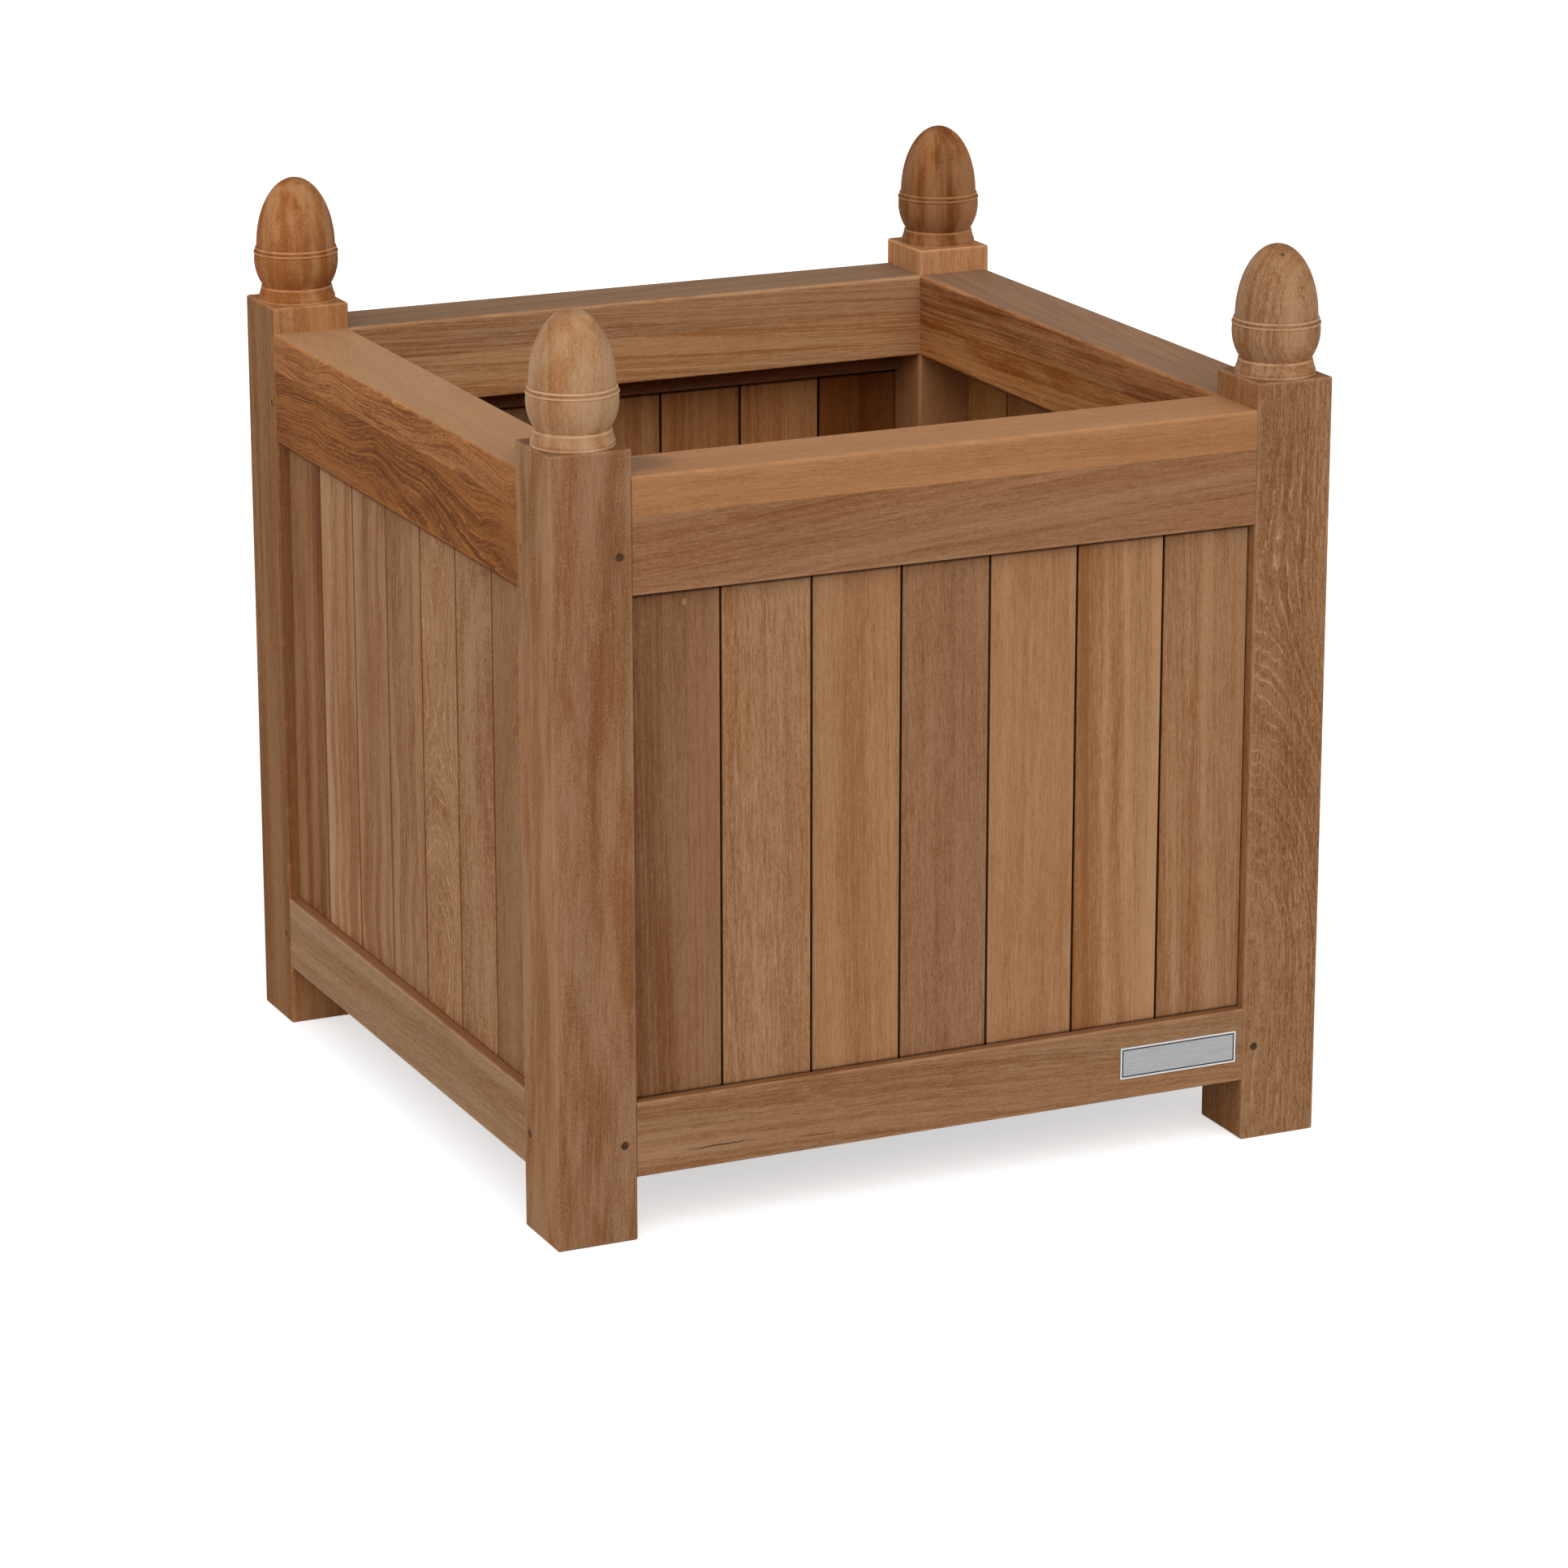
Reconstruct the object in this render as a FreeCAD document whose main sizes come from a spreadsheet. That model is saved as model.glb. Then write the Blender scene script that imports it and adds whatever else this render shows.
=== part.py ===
import FreeCAD
import Part
import math
import os
import Sketcher

# Square teak planter box on four posts, each post crowned by a turned acorn finial.
# The origin is on the ground under the middle of the frame, the front faces -Y and Z is up.
# Each side is drawn once, as the front, and turned about the middle by quarter turns.

doc = FreeCAD.newDocument("teak_planter_box")

# Driving dimensions, in millimetres
DRIVING_SIZES = {
    # Frame
    "frame_width": 648,
    "post_side": 65,
    "post_height": 610,
    "post_edge_round": 2,
    "rail_setback": 0.6,
    "foot_height": 50,
    "lower_rail_height": 59,
    "top_rail_drop": 21,
    "top_rail_height": 89,
    "upper_stave_height": 30,
    "rail_edge_round": 3.5,
    "arris_round": 1.2,
    # Tenons, their mortises and the pegs that lock them, which rise from the tenons' lower edges
    "tenon_inset": 14,
    "tenon_thickness": 18,
    "tenon_length": 28,
    "top_tenon_shoulder": 12,
    "lower_tenon_shoulder": 8,
    "lower_tenon_height": 34,
    "mortise_clearance": 0.15,
    "mortise_end_gap": 1,
    "peg_diameter": 6,
    "peg_clearance": 0.1,
    "peg_recess": 0.8,
    "peg_hole_lip": 0.7,
    "peg_reach": 37,
    "peg_end_gap": 1,
    "peg_inset": 10,
    "top_peg_rise": 10,
    "lower_peg_rise": 18.5,
    # Slatted walls
    "slat_recess": 9.5,
    "slat_thickness": 9,
    "slat_gap": 1.5,
    "slat_chamfer": 0.7,
    "tongue_thickness": 3,
    "tongue_reach": 4,
    "tongue_clearance": 0.3,
    "slat_head_gap": 1,
    "rebate_height": 20,
    "groove_depth": 14,
    "groove_clearance": 0.4,
    "batten_thickness": 8,
    "batten_end_gap": 0.5,
    # Floor
    "floor_drop": 15,
    "board_thickness": 18,
    "board_gap": 6,
    "board_end_gap": 1,
    "board_edge_round": 1.5,
    "ledge_width": 25,
    "screw_diameter": 4,
    "screw_length": 30,
    "screw_head_diameter": 8,
    "screw_tip_length": 4,
    "screw_tip_diameter": 0.8,
    "screw_socket_width": 2.2,
    "screw_socket_depth": 1.6,
    "screw_clearance": 0.1,
    "screw_hole_spare": 1,
    # Finials, heights measured from the top of the post
    "finial_height": 100,
    "collar_radius": 31.2,
    "collar_edge": 3.2,
    "collar_top_radius": 28.9,
    "collar_cove_radius": 24,
    "neck_radius": 27.7,
    "neck_height": 12.4,
    "neck_step": 1.1,
    "cup_radius": 33.8,
    "cup_height": 38.4,
    "cup_curve_radius": 38,
    "bead_height": 2.3,
    "bead_curve_radius": 1.35,
    "bead_gap": 1.1,
    "quirk_radius": 32.9,
    "nut_radius": 32,
    "dowel_diameter": 12,
    "dowel_clearance": 0.1,
    "dowel_end_gap": 1,
    "dowel_depth": 27,
    # Nameplate
    "plate_width": 102,
    "plate_height": 25.5,
    "plate_thickness": 1,
    "plate_end_gap": 7,
    "plate_border_inset": 1.5,
    "plate_border_width": 0.8,
    "plate_border_depth": 0.2,
    "plate_corner_round": 0.6,
}

QUARTER_TURN = 90
FULL_TURN = 360
SLATS_PER_SIDE = 7
FLOOR_BOARDS = 4
SIDES = ("front", "right", "rear", "left")
CORNERS = ("front_left", "front_right", "rear_right", "rear_left")

# Shares of a board's width at which its two rows of screws stand, from its middle
SCREW_ROW_SHARES = (-0.3, 0.3)

# Two places closer than this count as the same when edges are picked
SAME_PLACE = 1e-4

sizes = doc.addObject("Spreadsheet::Sheet", "sizes")
for row, (alias, amount) in enumerate(DRIVING_SIZES.items(), start=1):
    sizes.set(f"A{row}", alias.replace("_", " "))
    sizes.set(f"B{row}", str(amount))
    sizes.setAlias(f"B{row}", alias)
doc.recompute()


class Length:
    """A length with the formula that it follows, written in the names of the sheet."""

    def __init__(self, formula, amount):
        self.formula = formula
        self.amount = float(amount)

    def joined(self, sign, other, amount):
        other_formula = other.formula if isinstance(other, Length) else str(other)
        return Length(f"({self.formula} {sign} {other_formula})", amount)

    def __add__(self, other):
        return self.joined("+", other, self.amount + amount_of(other))

    def __sub__(self, other):
        return self.joined("-", other, self.amount - amount_of(other))

    def __mul__(self, other):
        return self.joined("*", other, self.amount * amount_of(other))

    def __truediv__(self, other):
        return self.joined("/", other, self.amount / amount_of(other))

    def __neg__(self):
        return Length(f"(0 - {self.formula})", -self.amount)


def amount_of(value):
    return value.amount if isinstance(value, Length) else float(value)


def size(alias):
    return Length(f"sizes.{alias}", sizes.get(alias))


ZERO = Length("0", 0)

# Places worked out from the driving sizes, on the front side of the planter
half_frame = size("frame_width") / 2
half_opening = half_frame - size("post_side")
opening = half_opening * 2
face_y = size("rail_setback") - half_frame
inner_y = -half_opening
slat_outer_y = size("slat_recess") - half_frame
slat_inner_y = slat_outer_y + size("slat_thickness")
tenon_outer_y = size("tenon_inset") - half_frame
tenon_inner_y = tenon_outer_y + size("tenon_thickness")
tenon_reach = half_opening + size("tenon_length")

lower_rail_bottom = size("foot_height")
lower_rail_top = lower_rail_bottom + size("lower_rail_height")
lower_tenon_bottom = lower_rail_bottom + size("lower_tenon_shoulder")
lower_tenon_top = lower_tenon_bottom + size("lower_tenon_height")
top_rail_top = size("post_height") - size("top_rail_drop")
top_rail_bottom = top_rail_top - size("top_rail_height")
glue_line = top_rail_top - size("upper_stave_height")
rebate_top = top_rail_bottom + size("rebate_height")
top_tenon_top = top_rail_top - size("top_tenon_shoulder")
groove_bottom = lower_rail_top - size("groove_depth")
floor_top = lower_rail_top - size("floor_drop")
ledge_top = floor_top - size("board_thickness")
ledge_outer_y = inner_y - size("ledge_width")

peg_x = half_opening + size("peg_inset")
top_peg_z = rebate_top + size("top_peg_rise")
lower_peg_z = lower_tenon_bottom + size("lower_peg_rise")
peg_radius = size("peg_diameter") / 2
peg_hole_radius = peg_radius + size("peg_clearance")

slat_pitch = opening / SLATS_PER_SIDE
slat_width = slat_pitch - size("slat_gap")

board_pitch = opening / FLOOR_BOARDS
board_width = board_pitch - size("board_gap")
board_half_length = -ledge_outer_y - size("board_end_gap")
screw_distance = half_opening + size("ledge_width") / 2
screw_hole_radius = size("screw_diameter") / 2 + size("screw_clearance")

post_middle = half_frame - size("post_side") / 2
dowel_hole_radius = size("dowel_diameter") / 2 + size("dowel_clearance")


# Helpers for bodies, sketches and features

def new_body(label):
    body = doc.addObject("PartDesign::Body", label)
    body.Label = label
    return body


def origin_plane(body, role):
    return next(item for item in body.Origin.OriginFeatures if item.Role == role)


def new_sketch(body, name, role, distance=ZERO):
    """A sketch on an origin plane, moved along that plane's normal by a distance."""
    sketch = body.newObject("Sketcher::SketchObject", name)
    sketch.AttachmentSupport = (origin_plane(body, role), [""])
    sketch.MapMode = "FlatFace"
    sketch.setExpression("AttachmentOffset.Base.z", distance.formula)
    return sketch


def point(place):
    return FreeCAD.Vector(place[0].amount, place[1].amount, 0)


def hold(sketch, kind, target, length):
    """Adds a constraint whose value follows a length's formula."""
    number = sketch.addConstraint(Sketcher.Constraint(kind, *target, length.amount))
    sketch.setExpression(f"Constraints[{number}]", length.formula)


def hold_point(sketch, edge, end, place):
    hold(sketch, "DistanceX", (edge, end), place[0])
    hold(sketch, "DistanceY", (edge, end), place[1])


def hold_ends(sketch, edge, start, end):
    hold_point(sketch, edge, 1, start)
    hold_point(sketch, edge, 2, end)


def add_outline(sketch, corners):
    """Closes straight edges through the corners, each held at its own place."""
    first = sketch.GeometryCount
    count = len(corners)
    for number in range(count):
        following = corners[(number + 1) % count]
        sketch.addGeometry(Part.LineSegment(point(corners[number]), point(following)))
    for number in range(count):
        next_edge = first + (number + 1) % count
        sketch.addConstraint(Sketcher.Constraint("Coincident", first + number, 2, next_edge, 1))
        hold_point(sketch, first + number, 1, corners[number])


def add_rectangle(sketch, left, right, bottom, top):
    add_outline(sketch, [(left, bottom), (right, bottom), (right, top), (left, top)])


def add_circle(sketch, place, radius):
    centre_mark = 3
    circle = sketch.addGeometry(Part.Circle(point(place), FreeCAD.Vector(0, 0, 1), radius.amount))
    hold(sketch, "Radius", (circle,), radius)
    hold_point(sketch, circle, centre_mark, place)


def add_pad(body, name, sketch, length, both_ways=False):
    pad = body.newObject("PartDesign::Pad", name)
    pad.Profile = sketch
    pad.setExpression("Length", length.formula)
    if both_ways:
        pad.SideType = "Symmetric"
    doc.recompute()
    return pad


def add_pocket(body, name, sketch, length, along_normal=False):
    """Cuts against the sketch's normal, or along it, and makes sure that it cut."""
    before = body.Shape.Volume
    pocket = body.newObject("PartDesign::Pocket", name)
    pocket.Profile = sketch
    pocket.setExpression("Length", length.formula)
    pocket.Reversed = along_normal
    doc.recompute()
    if not body.Shape.Volume < before:
        raise RuntimeError(f"{body.Label}: {name} cuts nothing")
    return pocket


def edge_names(shape, wanted):
    return [f"Edge{number}" for number, edge in enumerate(shape.Edges, start=1) if wanted(edge)]


def add_edge_feature(body, kind, name, base, wanted, property_name, length):
    names = edge_names(base.Shape, wanted)
    if not names:
        raise RuntimeError(f"{body.Label}: {name} finds no edge")
    feature = body.newObject(kind, name)
    feature.Base = (base, names)
    feature.setExpression(property_name, length.formula)
    doc.recompute()
    return feature


def add_fillet(body, name, base, wanted, radius):
    return add_edge_feature(body, "PartDesign::Fillet", name, base, wanted, "Radius", radius)


def add_chamfer(body, name, base, wanted, reach):
    return add_edge_feature(body, "PartDesign::Chamfer", name, base, wanted, "Size", reach)


def near(first, second):
    return math.isclose(first, second, abs_tol=SAME_PLACE)


def lies_at(edge, **places):
    """Whether the whole edge lies at the given coordinates, such as z=a length."""
    box = edge.BoundBox
    for axis, place in places.items():
        low = getattr(box, f"{axis.upper()}Min")
        high = getattr(box, f"{axis.upper()}Max")
        if not (near(low, place.amount) and near(high, place.amount)):
            return False
    return True


def runs_along_x(edge):
    return near(edge.BoundBox.YLength, 0) and near(edge.BoundBox.ZLength, 0)


def turned(x, y, quarters):
    """The place of a front point after quarter turns about the middle."""
    return ((x, y), (-y, x), (-x, -y), (y, -x))[quarters]


def quarter_rotation(quarters):
    return FreeCAD.Rotation(FreeCAD.Vector(0, 0, 1), QUARTER_TURN * quarters)


def put(item, x, y, z, rotation):
    """Places an object at lengths that follow the sheet."""
    item.Placement = FreeCAD.Placement(FreeCAD.Vector(0, 0, 0), rotation)
    item.setExpression("Placement.Base.x", x.formula)
    item.setExpression("Placement.Base.y", y.formula)
    item.setExpression("Placement.Base.z", z.formula)


def put_on_side(item, quarters, x=ZERO):
    """Turns a front piece to its side, after moving it along the front by x."""
    side_x, side_y = turned(x, ZERO, quarters)
    put(item, side_x, side_y, ZERO, quarter_rotation(quarters))


# Posts: drawn as the front left one, with mortises towards the front and left rails

def make_post(label, quarters):
    body = new_body(label)
    section = new_sketch(body, f"{label}_section", "XY_Plane")
    add_rectangle(section, -half_frame, inner_y, -half_frame, inner_y)
    pad = add_pad(body, f"{label}_pad", section, size("post_height"))
    add_fillet(body, f"{label}_eased_edges", pad, lambda edge: True, size("post_edge_round"))

    gap = size("mortise_clearance")
    mortise_depth = size("tenon_length") + size("mortise_end_gap")
    mortise_spans = (
        (lower_tenon_bottom - gap, lower_tenon_top + gap),
        (rebate_top - gap, top_tenon_top + gap),
    )
    for name, role, distance, along_normal in (
        ("front_mortises", "YZ_Plane", inner_y, False),
        ("side_mortises", "XZ_Plane", half_opening, True),
    ):
        mortises = new_sketch(body, f"{label}_{name}_sketch", role, distance)
        for bottom, top in mortise_spans:
            add_rectangle(mortises, tenon_outer_y - gap, tenon_inner_y + gap, bottom, top)
        add_pocket(body, f"{label}_{name}", mortises, mortise_depth, along_normal)

    for name, role, distance, along_normal in (
        ("front_peg_holes", "XZ_Plane", half_frame, False),
        ("side_peg_holes", "YZ_Plane", -half_frame, True),
    ):
        holes = new_sketch(body, f"{label}_{name}_sketch", role, distance)
        for height in (lower_peg_z, top_peg_z):
            add_circle(holes, (-peg_x, height), peg_hole_radius)
        add_pocket(body, f"{label}_{name}", holes, size("peg_reach"), along_normal)
    add_chamfer(
        body, f"{label}_peg_hole_lips", body.Tip,
        lambda edge: edge.isClosed()
        and (lies_at(edge, x=-half_frame) or lies_at(edge, y=-half_frame)),
        size("peg_hole_lip"))

    socket = new_sketch(body, f"{label}_dowel_sketch", "XY_Plane", size("post_height"))
    add_circle(socket, (-post_middle, -post_middle), dowel_hole_radius)
    add_pocket(body, f"{label}_dowel_hole", socket, size("dowel_depth") + size("dowel_end_gap"))
    put_on_side(body, quarters)
    return body


# Finials: turned about their own axis and stood on the middle of a post

def make_finial(label, quarters):
    body = new_body(label)
    profile = new_sketch(body, f"{label}_profile", "XZ_Plane")
    hole_depth = size("dowel_depth") + size("dowel_end_gap")
    lower_bead_top = size("cup_height") + size("bead_height")
    upper_bead_bottom = lower_bead_top + size("bead_gap")
    rim_top = upper_bead_bottom + size("bead_height")
    collar_top = size("neck_height") - size("neck_step")

    # Each corner up the side with the arc that leads on from it: its radius, and 1 where it
    # bulges outwards or -1 where it is hollow; None where a straight edge leads on
    outline = [
        ((ZERO, hole_depth), None),
        ((dowel_hole_radius, hole_depth), None),
        ((dowel_hole_radius, ZERO), None),
        ((size("collar_radius"), ZERO), None),
        ((size("collar_radius"), size("collar_edge")), (size("collar_cove_radius"), -1)),
        ((size("collar_top_radius"), collar_top), None),
        ((size("neck_radius"), size("neck_height")), (size("cup_curve_radius"), 1)),
        ((size("cup_radius"), size("cup_height")), (size("bead_curve_radius"), 1)),
        ((size("cup_radius"), lower_bead_top), None),
        ((size("quirk_radius"), lower_bead_top), None),
        ((size("quirk_radius"), upper_bead_bottom), (size("bead_curve_radius"), 1)),
        ((size("nut_radius"), rim_top), None),
    ]
    for (start, arc), (end, _) in zip(outline, outline[1:]):
        if arc is None:
            edge = profile.addGeometry(Part.LineSegment(point(start), point(end)))
            hold_ends(profile, edge, start, end)
            continue
        radius, bulge = arc
        edge = profile.addGeometry(arc_between(point(start), point(end), radius.amount, bulge))
        # A hollow arc is stored the other way round, as arcs always run to the left
        hold_ends(profile, edge, *((start, end) if bulge > 0 else (end, start)))
        hold(profile, "Radius", (edge,), radius)

    # The nut is a quarter of an ellipse, upright on the rim and level at the tip
    rim_middle = (ZERO, rim_top)
    nut_foot = (size("nut_radius"), rim_top)
    tip = (ZERO, size("finial_height"))
    ellipse = Part.Ellipse(point(tip), point(nut_foot), point(rim_middle))
    nut = profile.addGeometry(Part.ArcOfEllipse(ellipse, -math.pi / 2, 0))
    centre_mark = 3
    hold_point(profile, nut, centre_mark, rim_middle)
    hold_ends(profile, nut, nut_foot, tip)
    long_axis = profile.GeometryCount
    profile.exposeInternalGeometry(nut)
    profile.addConstraint(Sketcher.Constraint("Vertical", long_axis))
    axis_line = profile.addGeometry(Part.LineSegment(point(tip), point((ZERO, hole_depth))))
    hold_ends(profile, axis_line, tip, (ZERO, hole_depth))

    turning = body.newObject("PartDesign::Revolution", f"{label}_turning")
    turning.Profile = profile
    turning.ReferenceAxis = (profile, ["V_Axis"])
    turning.Angle = FULL_TURN
    doc.recompute()
    place_x, place_y = turned(-post_middle, -post_middle, quarters)
    put(body, place_x, place_y, size("post_height"), quarter_rotation(quarters))
    return body


def arc_between(start, end, radius, bulge):
    """An arc from start to end that bulges to the right of that way, or to its left for -1."""
    chord = end - start
    middle = (start + end) / 2
    to_right = FreeCAD.Vector(chord.y, -chord.x, 0).normalize()
    rise = radius - math.sqrt(radius ** 2 - (chord.Length / 2) ** 2)
    crown = middle + to_right * (rise * bulge)
    return Part.Arc(start, crown, end)


# Rails: an upper and a lower stave glued edge to edge make each top rail

def add_tenon_holes(body, name, height):
    holes = new_sketch(body, f"{name}_sketch", "XZ_Plane", -tenon_outer_y)
    for x in (-peg_x, peg_x):
        add_circle(holes, (x, height), peg_hole_radius)
    add_pocket(body, name, holes, size("tenon_thickness"))


def add_tenons(body, name, bottom, top):
    section = new_sketch(body, f"{name}_section", "YZ_Plane")
    add_rectangle(section, tenon_outer_y, tenon_inner_y, bottom, top)
    add_pad(body, name, section, tenon_reach * 2, both_ways=True)


def make_upper_stave(label, quarters):
    body = new_body(label)
    section = new_sketch(body, f"{label}_section", "YZ_Plane")
    add_rectangle(section, face_y, inner_y, glue_line, top_rail_top)
    pad = add_pad(body, f"{label}_pad", section, opening, both_ways=True)
    add_fillet(
        body, f"{label}_eased_edges", pad,
        lambda edge: lies_at(edge, z=top_rail_top) and runs_along_x(edge),
        size("rail_edge_round"))
    add_tenons(body, f"{label}_tenons", glue_line, top_tenon_top)
    put_on_side(body, quarters)
    return body


def make_lower_stave(label, quarters):
    body = new_body(label)
    section = new_sketch(body, f"{label}_section", "YZ_Plane")
    add_outline(section, [
        (face_y, top_rail_bottom),
        (slat_outer_y, top_rail_bottom),
        (slat_outer_y, rebate_top),
        (inner_y, rebate_top),
        (inner_y, glue_line),
        (face_y, glue_line),
    ])
    pad = add_pad(body, f"{label}_pad", section, opening, both_ways=True)
    add_fillet(
        body, f"{label}_eased_edges", pad,
        lambda edge: lies_at(edge, y=face_y, z=top_rail_bottom) or lies_at(edge, y=inner_y, z=rebate_top),
        size("arris_round"))
    add_tenons(body, f"{label}_tenons", rebate_top, glue_line)
    add_tenon_holes(body, f"{label}_peg_holes", top_peg_z)
    put_on_side(body, quarters)
    return body


def screw_places():
    """Places of the floor screws along a side rail, and which board each row is in."""
    for board in range(FLOOR_BOARDS):
        middle = board_pitch * (board - (FLOOR_BOARDS - 1) / 2)
        for share in SCREW_ROW_SHARES:
            yield board, middle + board_width * share


def make_lower_rail(label, quarters, carries_floor):
    body = new_body(label)
    groove_inner_y = slat_inner_y + size("groove_clearance")
    corners = [(face_y, lower_rail_bottom), (inner_y, lower_rail_bottom)]
    if carries_floor:
        corners += [(inner_y, ledge_top), (ledge_outer_y, ledge_top), (ledge_outer_y, lower_rail_top)]
    else:
        corners += [(inner_y, lower_rail_top)]
    corners += [
        (groove_inner_y, lower_rail_top),
        (groove_inner_y, groove_bottom),
        (slat_outer_y, groove_bottom),
        (slat_outer_y, lower_rail_top),
        (face_y, lower_rail_top),
    ]
    section = new_sketch(body, f"{label}_section", "YZ_Plane")
    add_outline(section, corners)
    pad = add_pad(body, f"{label}_pad", section, opening, both_ways=True)
    add_fillet(
        body, f"{label}_eased_edges", pad,
        lambda edge: lies_at(edge, y=face_y, z=lower_rail_top)
        or lies_at(edge, y=face_y, z=lower_rail_bottom)
        or lies_at(edge, y=inner_y, z=lower_rail_bottom),
        size("arris_round"))
    add_tenons(body, f"{label}_tenons", lower_tenon_bottom, lower_tenon_top)
    add_tenon_holes(body, f"{label}_peg_holes", lower_peg_z)
    if carries_floor:
        pilots = new_sketch(body, f"{label}_pilot_sketch", "XY_Plane", ledge_top)
        for _, along in screw_places():
            add_circle(pilots, (along, -screw_distance), screw_hole_radius)
        pilot_depth = size("screw_length") - size("board_thickness") + size("screw_hole_spare")
        add_pocket(body, f"{label}_pilot_holes", pilots, pilot_depth)
    put_on_side(body, quarters)
    return body


# Walls: tongued and grooved slats, with a batten behind their heads

def slat_section(with_groove, with_tongue):
    """Corners of a slat's section, its outer face towards the front."""
    left = -slat_width / 2
    right = slat_width / 2
    outer = slat_outer_y
    inner = slat_inner_y
    middle = (outer + inner) / 2
    bevel = size("slat_chamfer")
    half_tongue = size("tongue_thickness") / 2
    half_groove = half_tongue + size("tongue_clearance")
    tongue_end = right + size("slat_gap") + size("tongue_reach")
    groove_end = left + size("tongue_reach") + size("tongue_clearance")
    corners = [(left + bevel, outer), (right - bevel, outer), (right, outer + bevel)]
    if with_tongue:
        corners += [
            (right, middle - half_tongue),
            (tongue_end, middle - half_tongue),
            (tongue_end, middle + half_tongue),
            (right, middle + half_tongue),
        ]
    corners += [
        (right, inner - bevel),
        (right - bevel, inner),
        (left + bevel, inner),
        (left, inner - bevel),
    ]
    if with_groove:
        corners += [
            (left, middle + half_groove),
            (groove_end, middle + half_groove),
            (groove_end, middle - half_groove),
            (left, middle - half_groove),
        ]
    corners += [(left, outer + bevel)]
    return corners


def make_slat(label, quarters, number):
    body = new_body(label)
    section = new_sketch(body, f"{label}_section", "XY_Plane", groove_bottom)
    add_outline(section, slat_section(number > 0, number < SLATS_PER_SIDE - 1))
    slat_length = rebate_top - size("slat_head_gap") - groove_bottom
    add_pad(body, f"{label}_pad", section, slat_length)
    put_on_side(body, quarters, slat_pitch * (number - (SLATS_PER_SIDE - 1) / 2))
    return body


def make_batten(label, quarters):
    body = new_body(label)
    section = new_sketch(body, f"{label}_section", "YZ_Plane")
    inner_edge_y = slat_inner_y + size("batten_thickness")
    add_rectangle(section, slat_inner_y, inner_edge_y, top_rail_bottom, rebate_top)
    length = opening - size("batten_end_gap") * 2
    pad = add_pad(body, f"{label}_pad", section, length, both_ways=True)
    add_fillet(
        body, f"{label}_eased_edge", pad,
        lambda edge: lies_at(edge, y=inner_edge_y, z=top_rail_bottom), size("arris_round"))
    put_on_side(body, quarters)
    return body


# Floor: boards on the ledges of the two side rails, with gaps that let water out

def make_floor_board(label, number):
    body = new_body(label)
    section = new_sketch(body, f"{label}_section", "XY_Plane", ledge_top)
    half_width = board_width / 2
    add_rectangle(section, -board_half_length, board_half_length, -half_width, half_width)
    pad = add_pad(body, f"{label}_pad", section, size("board_thickness"))
    add_fillet(
        body, f"{label}_eased_edges", pad,
        lambda edge: lies_at(edge, z=floor_top) and runs_along_x(edge),
        size("board_edge_round"))
    holes = new_sketch(body, f"{label}_holes_sketch", "XY_Plane", floor_top)
    for x in (-screw_distance, screw_distance):
        for share in SCREW_ROW_SHARES:
            add_circle(holes, (x, board_width * share), screw_hole_radius)
    drilled = add_pocket(body, f"{label}_screw_holes", holes, size("board_thickness"))
    sink = (size("screw_head_diameter") - size("screw_diameter")) / 2
    add_chamfer(
        body, f"{label}_countersinks", drilled,
        lambda edge: lies_at(edge, z=floor_top) and isinstance(edge.Curve, Part.Circle), sink)
    middle = board_pitch * (number - (FLOOR_BOARDS - 1) / 2)
    put(body, ZERO, middle, ZERO, quarter_rotation(0))
    return body


# Fasteners: identical ones share a node as a group of separate solids

def new_primitive(kind, name, **lengths):
    item = doc.addObject(kind, name)
    for property_name, length in lengths.items():
        item.setExpression(property_name, length.formula)
    return item


def make_group(label, members):
    group = doc.addObject("Part::Compound", label)
    group.Label = label
    group.Links = members
    return group


def make_joint_pegs(label):
    pegs = []
    into_side = FreeCAD.Rotation(FreeCAD.Vector(1, 0, 0), -QUARTER_TURN)
    peg_length = size("peg_reach") - size("peg_recess") - size("peg_end_gap")
    for quarters in range(len(SIDES)):
        rotation = quarter_rotation(quarters).multiply(into_side)
        for x in (-peg_x, peg_x):
            for height in (lower_peg_z, top_peg_z):
                peg = new_primitive(
                    "Part::Cylinder", f"{label}_{len(pegs) + 1}", Radius=peg_radius, Height=peg_length)
                place_x, place_y = turned(x, size("peg_recess") - half_frame, quarters)
                put(peg, place_x, place_y, height, rotation)
                pegs.append(peg)
    return make_group(label, pegs)


def make_finial_dowels(label):
    dowels = []
    upright = quarter_rotation(0)
    for quarters in range(len(CORNERS)):
        dowel = new_primitive(
            "Part::Cylinder", f"{label}_{quarters + 1}",
            Radius=size("dowel_diameter") / 2, Height=size("dowel_depth") * 2)
        place_x, place_y = turned(-post_middle, -post_middle, quarters)
        put(dowel, place_x, place_y, size("post_height") - size("dowel_depth"), upright)
        dowels.append(dowel)
    return make_group(label, dowels)


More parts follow.
